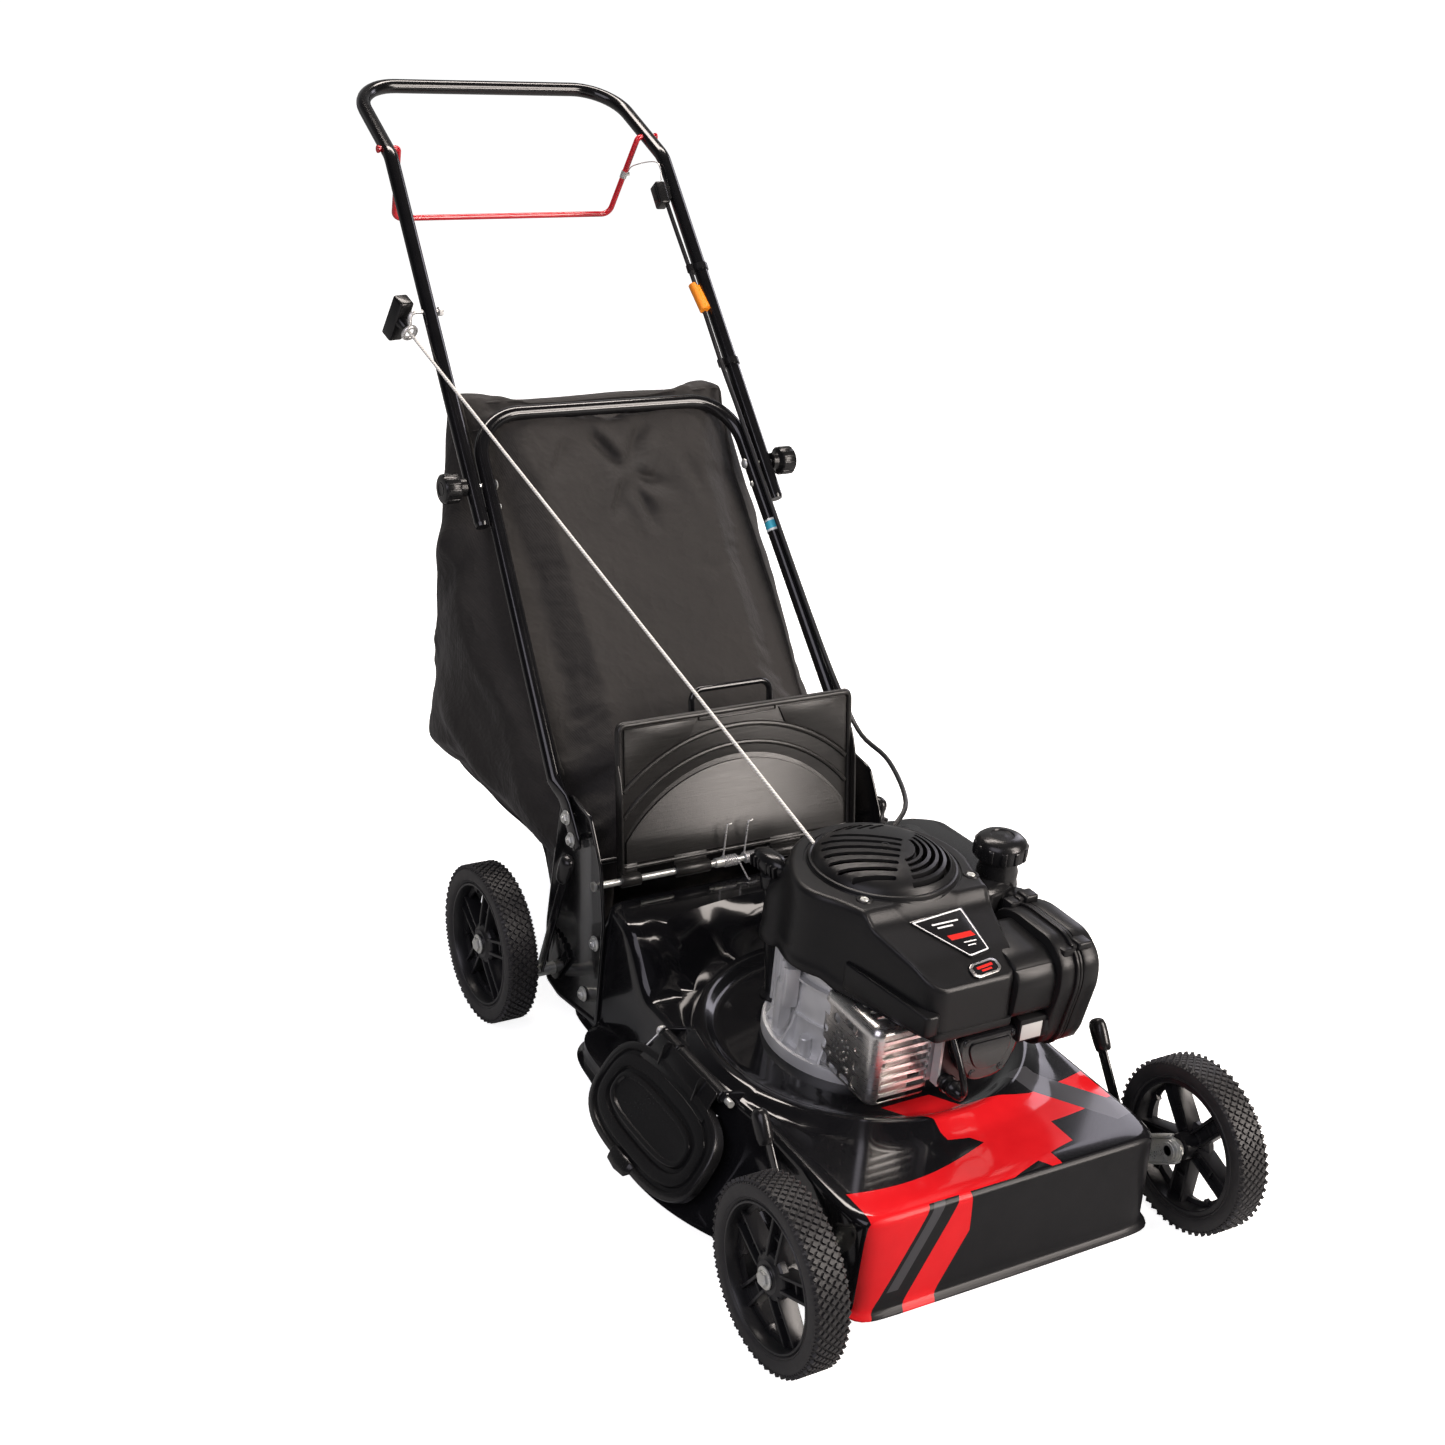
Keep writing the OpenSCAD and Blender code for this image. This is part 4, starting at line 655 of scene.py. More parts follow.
def makeDeck():
    d = deck
    flat, ring = d["platform"], []
    for r, z in d["well"]:
        ring.append(lambda a, r=r, z=z: (r, flat + z))
    start = d["wellRim"]

    def top(share):
        def place(a):
            edge = topReach(a)
            r = start + (edge - start) * share
            fall = 8.2 * (1 - ease(share * (edge - start) / 16)) if edge > start + 16 else 8.2 * (1 - share)
            return r, roofAt(a, r) + fall
        return place
    for share in (0.12, 0.3, 0.5, 0.68, 0.84, 1.0):
        ring.append(top(share))

    def shoulder(out, down):
        def place(a):
            return topReach(a, out, out * 0.72), roofAt(a, topReach(a)) - down
        return place
    for out, down in ((3.5, 0.7), (6.4, 2.6), (8.3, 5.4), (d["bend"], d["bend"])):
        ring.append(shoulder(out, down))

    def side(share):
        def place(a):
            high = roofAt(a, topReach(a)) - d["bend"]
            z = high + (d["sideFoot"] - high) * share
            wide = d["shoulder"] + (d["house"] - d["shoulder"]) * (flat - min(z, flat)) / (flat - d["rim"])
            return deckReach(a, wide, d["half"], d["front"] - 6 + 6 * (flat - z) / 115, rearAt(z)), z
        return place
    for share in (0.2, 0.4, 0.6, 0.8, 0.93, 1.0):
        ring.append(side(share))

    def skirt(out, z, share):
        def place(a):
            wide = d["shoulder"] + (d["house"] - d["shoulder"]) * (flat - z) / (flat - d["rim"])
            body = deckReach(a, wide, d["half"], d["front"] - 6 + 6 * (flat - z) / 115, 329)
            wing = deckReach(a, wide, 242, 240, 258, 9)
            return (max(body, wing) if sin(a) > 0 else body) * share + body * (1 - share) + out, z
        return place
    for out, z, share in ((0, 62, 0.35), (0, 60, 0.85), (0, 58, 1), (0, 50, 1), (0.4, 44, 1), (2.4, 40.4, 1),
                          (5.6, 38.6, 1), (7.6, 37.4, 1), (8, 36, 1), (7, 35, 1), (4, 35, 1)):
        ring.append(skirt(out, z, share))
    shell = loopPart(ring, d["rays"], (0, d["crank"]))
    # thick wall, then the two openings
    bmesh.ops.solidify(shell, geom=list(shell.faces), thickness=d["wall"])
    bmesh.ops.recalc_face_normals(shell, faces=shell.faces)
    cutter = Shape(boxPart(*d["chute"], 12, 3), boxPart(*d["outlet"], 8, 3))
    shell = carve(shell, cutter.mesh)
    shape = Shape(shell)
    for y in d["ears"]:  # for the side cover's hinge
        shape.take(platePart([(-219, 150), (-211, 158), (-200, 156), (-182, 152), (-182, 136), (-206, 136)], 6, 2.5,
                             0.5), frontways, moved(y=y + 3))
    shape.make("deckBody", "mower", deckPaint, "deck_shell", "deck_paint", smooth=32)
    print("deck made")


makeDeck()

bracket = {"inside": 198, "thick": 3, "bolts": [(283, 291), (267, 269), (205, 158), (225, 76)],
           "outline": [(186, 52), (186, 190), (204, 262), (238, 312), (292, 318), (318, 290), (334, 120), (326, 42),
                       (290, 36)]}


def makeBrackets():
    b, shape, bolts = bracket, Shape(), Shape()
    for s in (1, -1):
        plate = platePart(b["outline"], b["thick"], 7, 0.7)
        face = max(plate.faces, key=lambda f: f.calc_center_median().z * 1e4 + f.calc_area())
        bmesh.ops.inset_region(plate, faces=[face], thickness=5, depth=0)
        bmesh.ops.inset_region(plate, faces=[face], thickness=2, depth=-1.2)
        shape.take(plate, sideways, moved(x=b["inside"]), *mirrored(s))
        for i, (y, z) in enumerate(b["bolts"]):
            x = 209 if i < 2 else 201
            head = hexPart((s * x, y, z), (s, 0, 0), 7, 5, 9.5)
            bolts.take(head)
            bolts.take(rodPart((s * 197.6, y, z), (s * (x + 0.2), y, z), 3.5, steps=16))
            bolts.take(rodPart((s * (x + 5), y, z), (s * (x + 6.4), y, z), 3.1, 2.6, 16))
    reach, angles = deck["mountBolts"]
    for a in angles:
        x, y = reach * cos(radians(a)), deck["crank"] + reach * sin(radians(a))
        bolts.take(hexPart((x, y, 147.2), (0, 0, -1), 7.5, 4, 10))
        bolts.take(rodPart((x, y, 145), (x, y, 161.4), 3.9, steps=16))
    shape.make("bracketPlates", "mower", tubePaint, "handle_brackets", "frame_paint")
    bolts.make("deckBolts", "mower", zinc, "deck_fasteners", "zinc")
    print("brackets made")


makeBrackets()

# wheels
wheel = {"radius": 100, "rim": 77.5, "track": 271.5, "axle": 343.5, "rows": 120, "block": 3.95, "spokes": 5,
         "facets": 120}
corners = {"front_right": (-1, -1), "front_left": (1, -1), "rear_right": (-1, 1), "rear_left": (1, 1)}


def wheelPlace(s, e):
    middle = Matrix.Translation((s * wheel["track"], e * wheel["axle"], wheel["radius"]))
    return middle @ Matrix.Rotation(radians(90 * s), 4, "Y")


def tyrePart():
    w = wheel
    half = [(w["rim"], 16.5), (w["rim"] + 1.5, 18.6), (79.8, 19.2), (80.6, 18.6), (82, 19.6), (86, 20), (91, 19.8),
            (94.4, 19), (96.4, 17.4), (97.3, 15), (97.4, 8)]
    shape = Shape(turnPart([(r, -h) for r, h in half] + [(r, h) for r, h in reversed(half)], w["facets"], closed=True))
    tread = bmesh.new()
    for row in range(w["rows"]):
        turn = Matrix.Rotation(2 * pi * row / w["rows"], 4, "Z")
        for h in ((-11, 0, 11) if row % 2 else (-5.5, 5.5, 16.2, -16.2)):
            small = 0.8 if abs(h) > 16 else 1
            place = turn @ Matrix.Translation((98.1, 0, h)) @ Matrix.Rotation(pi / 2, 4, "Y")
            bmesh.ops.create_cone(tread, cap_ends=True, segments=4, radius1=w["block"] * small,
                                  radius2=w["block"] * 0.82 * small,
                                  depth=3.6, matrix=place)
        for s in (1, -1):  # small teeth round both shoulders
            place = turn @ Matrix.Translation((95.2, 0, s * 17.9)) @ Matrix.Rotation(s * pi / 3, 4, "Y")
            bmesh.ops.create_cube(tread, size=1, matrix=place @ Matrix.Diagonal((3.4, 2.3, 2.2, 1)))
    shape.take(tread)
    return shape.mesh


def hubPart():
    shape = Shape(turnPart([(77.4, -17), (77.4, 16.6), (76.2, 18), (74.2, 18), (72.6, 15), (71.4, 8), (71.2, 4),
                            (66, 3.6), (65.4, 1), (71, -0.5),
                            (71.6, -17), (73, -18)], 90, closed=True),
                  turnPart([(6.1, 15.6), (12.5, 15.6), (13.2, 14.6), (17.5, 14.4), (19, 13), (24, 11.2), (25.5, 9),
                            (25.6, 3), (22, 0), (15.6, -2),
                            (15, -18.8), (6.1, -19)], 60, closed=True))
    apart = 360 / wheel["spokes"]
    for spoke in range(wheel["spokes"]):
        for s in (1, -1):
            rib = platePart([(14, -7), (72.4, -9), (72.8, 8.6), (60, 9.4), (30, 12.4), (20, 13)], 3.6, 1.2, 0.8)
            shape.take(rib, frontways, moved(y=1.8), turned(s * 1.6, "Z"), moved(y=s * 7.6), turned(spoke * apart, "Z"))
        channel = platePart([(18, -8.5), (72.5, -10.5), (72.5, 10.5), (18, 8.5)], 3, 0, 0.6)
        shape.take(channel, moved(z=-1), turned(spoke * apart, "Z"))
        shape.take(boxPart((40, 43), (-7, 7), (-5, 7), 0.6), turned(spoke * apart, "Z"))
        web = platePart([(62, 0), (72.5, -7), (72.5, 7)], 7, 1, 0.8)  # gusset between the spokes at the rim
        shape.take(web, moved(z=-2), turned((spoke + 0.5) * apart, "Z"))
    return shape.mesh


def makeWheels():
    tyre, hub = tyrePart(), hubPart()
    for corner, (s, e) in corners.items():
        for part, name, finish, slot in ((tyre, "tyre", rubber, "tyre_rubber"),
                                         (hub, "hub", hubPlastic, "hub_plastic")):
            Shape().take(part.copy(), wheelPlace(s, e)).make(f"{name}Shell_{corner}", f"wheel_{corner}", finish,
                                                             f"{name}_{corner}", slot, smooth=30)
    print("wheels made")


makeWheels()

# height arms and their levers
arm = {"pivotY": 300.5, "pivotZ": 72, "plateX": 237, "leverX": 221.2, "length": {-1: 142, 1: 187},
       "tilt": {-1: 53.3, 1: 107.8},
       "toothRing": (52, 48), "toothDepth": 0.93}  # the front ends are -1, the rear ends 1


def linkPart(a, b, r, thick, edge=0.6):  # flat bar with round ends, in a plane
    a, b = Vector(a), Vector(b)
    d = (b - a).normalized()
    n = Vector((-d.y, d.x))
    outline = []
    for end, start in ((b, -90), (a, 90)):
        for i in range(9):
            t = radians(start + 22.5 * i)
            outline.append(end + (d * cos(t) + n * sin(t)) * r)
    return platePart([(p.x, p.y) for p in outline], thick, 0, edge)


def makeArms():
    for corner, (s, e) in corners.items():
        pivot, axle = (e * arm["pivotY"], arm["pivotZ"]), (e * wheel["axle"], wheel["radius"])
        tilt, length = radians(arm["tilt"][e]), arm["length"][e]
        tip = (pivot[0] + length * cos(tilt), pivot[1] + length * sin(tilt))
        side = mirrored(s)
        steel = Shape()
        steel.take(linkPart(pivot, axle, 13, 4), sideways, moved(x=arm["plateX"]), *side)
        for lift in (13, -17):  # folded flanges of the bracket
            d = Vector((axle[0] - pivot[0], axle[1] - pivot[1])).normalized()
            n = Vector((-d.y, d.x))
            corner0, corner1 = Vector(pivot) + n * lift - d * 8, Vector(axle) + n * lift + d * 4
            flange = boxPart((237, 248), (0, (corner1 - corner0).length), (0, 3), 1)
            steel.take(flange, turned(math.degrees(atan2(d.y, d.x)), "X"), moved(0, corner0.x, corner0.y), *side)
        steel.take(rodPart((s * 198.3, *pivot), (s * 241, *pivot), 7.9, steps=32))
        steel.take(hexPart((s * 241, *pivot), (s, 0, 0), 9, 5, 12))
        steel.take(rodPart((s * 236, *axle), (s * 251.4, *axle), 10, steps=32))
        steel.take(turnPart([(6, 241.2), (16, 241.2), (16, 243), (6, 243)], 32, True), turned(90 * s, "Y"),
                   moved(0, *axle))
        steel.take(hexPart((s * 243, *axle), (s, 0, 0), 12.5, 7))
        steel.take(rodPart((s * 236, *axle), (s * 288.2, *axle), 5.9, steps=24))
        steel.take(hexPart((s * 288.3, *axle), (s, 0, 0), 9, 5, 12))
        steel.make(f"armSteel_{corner}", f"arm_{corner}", zinc, f"height_arm_{corner}", "zinc")
        lever = Shape()
        bar = linkPart(pivot, tip, 7, 3.6, 0.9)
        lever.take(bar, sideways, moved(x=arm["leverX"]), *side)
        lever.make(f"leverBar_{corner}", f"arm_{corner}", tubePaint, slot="frame_paint")
        grip = Shape()
        along, across = Vector((0, cos(tilt), sin(tilt))), Vector((0, -sin(tilt), cos(tilt)))
        end = Vector((225.2 * s, *tip))
        rings = []
        for t, wide, deep in ((-26, 6.6, 7.6), (-24.5, 8.2, 9.4), (-18, 9.0, 10.4), (-4, 9.3, 11.4), (4, 9.0, 11.4),
                              (9, 7.4, 9.6), (11.6, 4.2, 5.8), (12, 1.5, 2)):
            rings.append((end + along * t, Vector((wide, 0, 0)), across * deep))
        grip.take(loftPart(rings, 20))
        grip.make(f"leverGrip_{corner}", f"arm_{corner}", smoothPlastic, slot="body_plastic", smooth=50)
    plates = Shape()
    for s in (1, -1):
        for e, inside, spread in ((-1, 198, (21, 85)), (1, 201, (76, 140))):
            r, count = arm["toothRing"]
            outline = [(r * cos(radians(a)), r * sin(radians(a)))
                       for a in (spread[0] + (spread[1] - spread[0]) * i / count for i in range(count + 1))]
            for i, (u, v) in enumerate(outline):  # teeth along the rim
                if i % 8 in (3, 4, 5):
                    outline[i] = (u * arm["toothDepth"], v * arm["toothDepth"])
            low, high = radians(spread[0] - 70), radians(spread[1] + 70)
            outline += [(15 * cos(t), 15 * sin(t)) for t in (high + (low + 2 * pi - high) * i / 12 for i in range(13))]
            plate = platePart([(u + e * arm["pivotY"], v + arm["pivotZ"]) for u, v in outline], 3, 0, 0.4)
            plates.take(plate, sideways, moved(x=inside), *mirrored(s))
    plates.make("heightPlates", "mower", tubePaint, "height_plates", "frame_paint")
    print("arms made")


makeArms()


# engine, measured from the top of the deck on the crank's line
engine = moved(0, -70, 150)
shroud = {"round": 103, "nose": [(-97, -30), (-54, -189), (54, -189), (97, -30), (97, 60), (-97, 60)], "low": 114,
          "seat": 84,
          "slope": [(-400, 60), (-210, 157), (-188, 171), (-154, 187), (-100, 203), (-92, 207), (-86, 216), (-82, 218),
                    (400, 218)], "dome": 84, "bend": 7,
          "screws": ((-66, -62), (78, -58), (-70, 18))}


def onLine(line, x):
    for (x0, y0), (x1, y1) in zip(line, line[1:]):
        if x0 <= x <= x1:
            return y0 + (y1 - y0) * (x - x0) / (x1 - x0)
    return line[0][1] if x < line[0][0] else line[-1][1]


def polyReach(angle, outline):
    c, s = cos(angle), sin(angle)
    best = 0.0
    for (x0, y0), (x1, y1) in zip(outline, outline[1:] + outline[:1]):
        cross = c * (y1 - y0) - s * (x1 - x0)
        if abs(cross) < 1e-9:
            continue
        t = (x0 * (y1 - y0) - y0 * (x1 - x0)) / cross
        u = (x0 * s - y0 * c) / cross
        if t > 0 and -1e-6 <= u <= 1 + 1e-6:
            best = max(best, t)
    return best


def shroudReach(angle, blur=4.0):
    total = 0
    for i in range(-3, 4):
        a = angle + radians(i * blur / 3)
        total += max(shroud["round"], polyReach(a, shroud["nose"]) if sin(a) < 0.2 else 0)
    return total / 7 + 12 * math.exp(-(((angle % (2 * pi)) - radians(188)) / radians(24)) ** 2)


def slopeAt(y):  # height of the lid, its corners rounded a little
    return sum(onLine(shroud["slope"], y + k * 1.6) for k in (-2, -1, 0, 1, 2)) / 5


def makeShroud():
    s = shroud

    def lid(share=None, r=None, out=0.0, down=0.0):
        def place(a):
            edge = shroudReach(a) - s["bend"]
            far = r if r else s["seat"] + 4 + (edge - s["seat"] - 4) * share + out
            return far, slopeAt((far - out) * sin(a)) - down
        return place
    rings = [lambda a: (74, 213), lambda a: (74, 217.4), lambda a: (75, 218), lid(r=82), lid(r=84.6),
             lid(r=85.2, down=1.2), lid(r=87, down=1.2), lid(r=87.6)]
    rings += [lid(share=i / 12) for i in range(1, 13)]
    rings += [lid(share=1, out=o, down=d) for o, d in ((2.8, 0.55), (4.9, 2.1), (6.3, 4.3), (s["bend"], s["bend"]))]

    def side(share, out=0.0):
        def place(a):
            edge = shroudReach(a)
            high = slopeAt((edge - s["bend"]) * sin(a)) - s["bend"]
            left = ease((cos(a) * -1 - 0.25) / 0.4) * ease((0.5 - abs(sin(a) + 0.1)) / 0.2)
            low = s["low"] + 8 * left
            # round the filler tube
            ear = 21 * ease(share / 0.5) * math.exp(-(((a % (2 * pi)) - radians(146)) / radians(15)) ** 2)
            return edge + out + 1.6 * share + ear, high + (low - high) * share
        return place
    rings += [side(t) for t in (0.2, 0.4, 0.6, 0.78, 0.86)] + [side(0.88, 1.0), side(0.97, 1.2), side(1.0, 0.6),
                                                               side(1.0, -1.8), side(0.9, -2.4)]
    shell = Shape(loopPart(rings, 240))
    fin = platePart([(-92, -74), (-64, -192), (-46, -192), (-58, -74)], 60, 5, 0)  # step above the exhaust guard
    for v in fin.verts:
        if v.co.z > 30:
            v.co.z = onLine([(-192, 24), (-150, 27), (-74, 34)], v.co.y)
    softEdges(fin, 2.5, 3, 40)
    shell.take(fin, moved(z=121))
    lip = platePart([(-50, -193), (50, -193), (54, -176), (-54, -176)], 10, 5, 1.5)
    shell.take(lip, moved(z=112))
    for x, y in s["screws"]:  # their seats
        shell.take(turnPart([(5.2, 0), (8.4, 0), (9.4, 1.4), (8.4, 2.6), (6.2, 2.8), (5.2, 1.6)], 32, True),
                   moved(x, y, onLine(s["slope"], y) - 1.2))
    shell.take(platePart([(60, -86), (104, -70), (112, -112), (104, -178), (50, -186)], 54, 12, 5), moved(z=118))
    Shape().take(shell.mesh, engine).make("shroudShell", "mower", enginePlastic, "engine_shroud", "engine_plastic",
                                          smooth=38)
    screws = Shape()
    for x, y in s["screws"]:
        z = onLine(s["slope"], y)
        head = turnPart([(0, 0), (1.4, 0), (1.5, 1.2), (4.2, 1.4), (5, 0.6), (5, -2), (0, -2)], 24)
        screws.take(head, moved(x, y, z + 0.1), engine)
    screws.make("shroudScrews", "mower", zinc, slot="zinc")


def slotRing(r, wide, start, sweep, low, high):
    part = turnPart([(r - wide / 2, low), (r + wide / 2, low), (r + wide / 2, high), (r - wide / 2, high)],
                    max(6, int(sweep / 5)), True, radians(sweep))
    bmesh.ops.holes_fill(part, edges=[e for e in part.edges if e.is_boundary], sides=0)
    bmesh.ops.recalc_face_normals(part, faces=part.faces)
    bmesh.ops.transform(part, matrix=Matrix.Rotation(radians(start), 4, "Z"), verts=part.verts)
    return part


dome = {"fanSlots": 7, "rings": (71.5, 62.5, 53.5, 44.5, 35.8), "ringWidth": 5.2, "backSlots": 4, "turn": -32.5,
        "bars": (30, 150, 270)}


def makeDome():
    d, turn, cutLow, cutHigh = shroud["dome"], dome["turn"], 210, 250
    outline = [(d - 8, 212), (d, 212), (d, 219.5), (d - 1, 221.5), (d - 3, 222), (d - 5, 221), (d - 6, 222.6),
               (d - 8, 226), (d - 14, 230.5), (d - 24, 234.6),
               (d - 38, 238), (d - 56, 240.4), (d - 76, 241.6), (0, 241.8), (0, 238.8), (d - 56, 237.4), (d - 38, 235),
               (d - 24, 231.6), (d - 14, 227), (d - 9, 222), (d - 9, 212)]
    lid = turnPart(outline, 96)
    cut = Shape()
    for i in range(dome["fanSlots"]):  # fanned slots towards the front right
        ahead = 18 - 13.4 * i
        reach = math.sqrt(max(0, 74.5 ** 2 - ahead ** 2))
        right = 20 - 1.5 * i
        slot = boxPart((-reach + (12 if i == 0 else 4), right), (-3.2, 3.2), (cutLow, cutHigh), 3.1, 3)
        cut.take(slot, turned(-4 + 1.6 * i, "Z"), moved(y=ahead), turned(turn, "Z"))
    for i, r in enumerate(dome["rings"]):  # curved slots on the other side
        cut.take(slotRing(r, dome["ringWidth"], turn - 66 + 3 * i, 128 - 9 * i, cutLow, cutHigh))
    for i in range(dome["backSlots"]):  # short slots at the back
        slot = boxPart((-13, 13), (-2.6, 2.6), (cutLow, cutHigh), 2.5, 3)
        cut.take(slot, turned(38 + 4 * i, "Z"), moved(-44 + 12.5 * i, 52 + 1.5 * i), turned(turn, "Z"), moved(-4, -4))
    shape = Shape(carve(lid, cut.mesh))
    shape.take(turnPart([(3, 241), (4.6, 241.4), (4.6, 242), (3, 242.2)], 24, True))
    shape.take(rodPart((0, 0, 215), (0, 0, 239), 6, steps=20))
    for a in dome["bars"]:
        shape.take(boxPart((4, 76), (-2, 2), (215, 221), 0.8), turned(a, "Z"))
    Shape().take(shape.mesh, engine).make("startDome", "mower", enginePlastic, "recoil_grille", "engine_plastic",
                                          smooth=32)


guard = {"box": ((-95, -13), (-153, -48), (12, 113)), "slots": 8, "slotPitch": 10.9, "holes": 6, "holePitch": 14}


def makeGuard():
    x, y, z = guard["box"]
    inside = boxPart((x[0] + 2, x[1] + 9), (y[0] + 2, y[1] + 9), (z[0] - 9, z[1] - 2), 12, 5)
    shell = carve(boxPart(x, y, z, 14, 6), inside)
    cut = Shape()
    for i in range(guard["slots"]):  # across the front
        up = guard["slotPitch"] * i
        cut.take(boxPart((-84, -20), (-170, -140), (21 + up, 28 + up), 2.8, 3))
    for i in range(guard["holes"]):  # square holes and long ones on top
        on = guard["holePitch"] * i
        cut.take(boxPart((-31, -20), (-134 + on, -124 + on), (100, 125), 1.8, 2))
        cut.take(boxPart((-80, -40), (-134 + on, -128 + on), (100, 125), 2.2, 3))
    for y0, y1, z0, z1 in ((-128, -118, 24, 40), (-114, -96, 22, 30), (-92, -74, 22, 30), (-70, -54, 22, 36),
                           (-128, -118, 46, 58), (-128, -116, 86, 97),
                           (-112, -96, 90, 98), (-66, -54, 82, 97), (-66, -54, 40, 52), (-114, -106, 35, 42)):
        cut.take(boxPart((-100, -84), (y0, y1), (z0, z1), 3, 3))
    for r, count, size in ((15, 14, 2.1), (8, 7, 1.9)):  # rings of small round holes, and larger ones beside them
        for i in range(count):
            a = 2 * pi * i / count
            y0, z0 = -92 + r * cos(a), 60 + r * sin(a)
            cut.take(rodPart((-100, y0, z0), (-84, y0, z0), size, steps=12))
    for y0, z0, r in ((-122, 72, 4.6), (-80, 88, 6), (-62, 66, 4.6)):
        cut.take(rodPart((-100, y0, z0), (-84, y0, z0), r, steps=20))
    shell = Shape(carve(shell, cut.mesh))
    for y0, z0 in ((-104, 38), (-74, 40)):
        shell.take(turnPart([(0, 0), (4.4, 0), (4.4, 1.6), (2.6, 2.6), (0, 2.6)], 20), turned(-90, "Y"),
                   moved(-92.8, y0, z0))
    Shape().take(shell.mesh, engine).make("exhaustGuard", "mower", guardSteel, "muffler_guard", "guard_metal",
                                          smooth=32)


def makeCrankcase():
    case = Shape(turnPart([(12, 0), (114, 0), (114, 10), (113, 13.4), (110, 14), (107.5, 13), (106.5, 9.5), (99, 9),
                           (95, 12), (92.5, 18), (91, 40), (90, 78),
                           (88, 84), (87, 112), (84, 116), (12, 116)], 96))
    for a in range(-60, 241, 30):
        case.take(platePart([(86, 9), (111, 9), (110, 13), (97, 34), (90, 66), (86, 66)], 4.2, 0, 1.1), frontways,
                  moved(y=2.1), turned(a, "Z"))
    for a, high, r in ((105, 58, 9), (135, 34, 8), (165, 76, 10), (195, 30, 8), (225, 62, 9), (250, 26, 8), (75, 40, 8),
                       (45, 56, 9)):
        case.take(turnPart([(0, 0), (r + 2.5, 8), (r, 16), (r - 0.6, high), (r - 2, high + 1.4), (0, high + 1.4)], 28),
                  moved(97), turned(a, "Z"))
    for z0 in (48, 92):
        case.take(turnPart([(80, z0 - 2.4), (94.5, z0 - 1.4), (94.5, z0 + 1.4), (80, z0 + 2.4)], 96, True))
    for y0, y1, z0, z1 in ((-40, 34, 54, 104), (-34, 28, 22, 46)):  # webbed side panel
        case.take(boxPart((-100, -84), (y0, y1), (z0, z1), 3, 2), turned(-24, "Z"))
    for i in range(5):
        case.take(boxPart((-103, -90), (-36 + 16 * i, -33 + 16 * i), (24, 103), 1.2, 2), turned(-24, "Z"))
    case.take(boxPart((-62, 70), (-122, -60), (20, 112), 8, 3))
    Shape().take(case.mesh, engine).make("crankHousing", "mower", cast, "crankcase", "cast_metal", smooth=30)
    bolts = Shape()
    for a, high in ((105, 59.5), (165, 77.5), (225, 63.5), (45, 57.5)):
        bolts.take(hexPart((97 * cos(radians(a)), -70 + 97 * sin(radians(a)), 150 + high), (0, 0, 1), 6, 4.4, 8))
    for a in (15, 60, 120, 180, 240, 300):
        bolts.take(hexPart((104 * cos(radians(a + 15)), -70 + 104 * sin(radians(a + 15)), 159), (0, 0, 1), 5, 4, 6.5))
    bolts.make("caseBolts", "mower", zinc, slot="zinc")


def makeValveCover():
    cover = platePart([(-9, 103), (70, 103), (71, 80), (60, 52), (45, 44), (17, 44), (2, 53), (-10, 82)], 20, 8, 4)
    inner = platePart([(4, 95), (57, 95), (58, 82), (50, 65), (41, 59), (20, 59), (11, 66), (3, 84)], 4, 6, 2)
    shape = Shape().take(cover, frontways, moved(y=-166)).take(inner, frontways, moved(y=-184))
    shape.take(platePart([(-10, 106), (71, 106), (72, 80), (60, 55), (45, 48), (17, 48), (2, 57), (-11, 84)], 4, 8, 1),
               frontways, moved(y=-163))
    for x0, z0 in ((-1, 96), (62, 96), (12, 56), (50, 56)):
        shape.take(hexPart((x0, -185.4, z0), (0, -1, 0), 3.4, 2.4, 4.6))
    Shape().take(shape.mesh, engine).make("valveLid", "mower", glossCover, "valve_cover", "engine_plastic", smooth=20)
    # plug cap, with its lead kept short on the engine
    boot = Shape(turnPart([(0, -14), (7, -14), (8.6, -11), (8.6, 4), (9.4, 5), (9.4, 9), (8.2, 10), (8.2, 16), (6, 22),
                           (3.6, 24), (0, 24)], 24))
    elbow = Shape().take(boot.mesh, turned(90, "X"), moved(-9, -178, 41))
    elbow.take(wirePart(softPath([(-9, -196, 41), (-9.6, -203, 46), (-11, -203, 58), (-13, -190, 84), (-14, -168, 112)],
                                 6), 3.6, sides=4))
    elbow.take(turnPart([(9.9, 0), (10.8, 1.4), (10.8, 4), (9.9, 5.4), (8, 5.4), (8, 0)], 28, True), turned(90, "X"),
               moved(-9, -172, 41))
    Shape().take(elbow.mesh, engine).make("plugCap", "mower", smoothPlastic, "plug_boot", "engine_plastic", smooth=50)


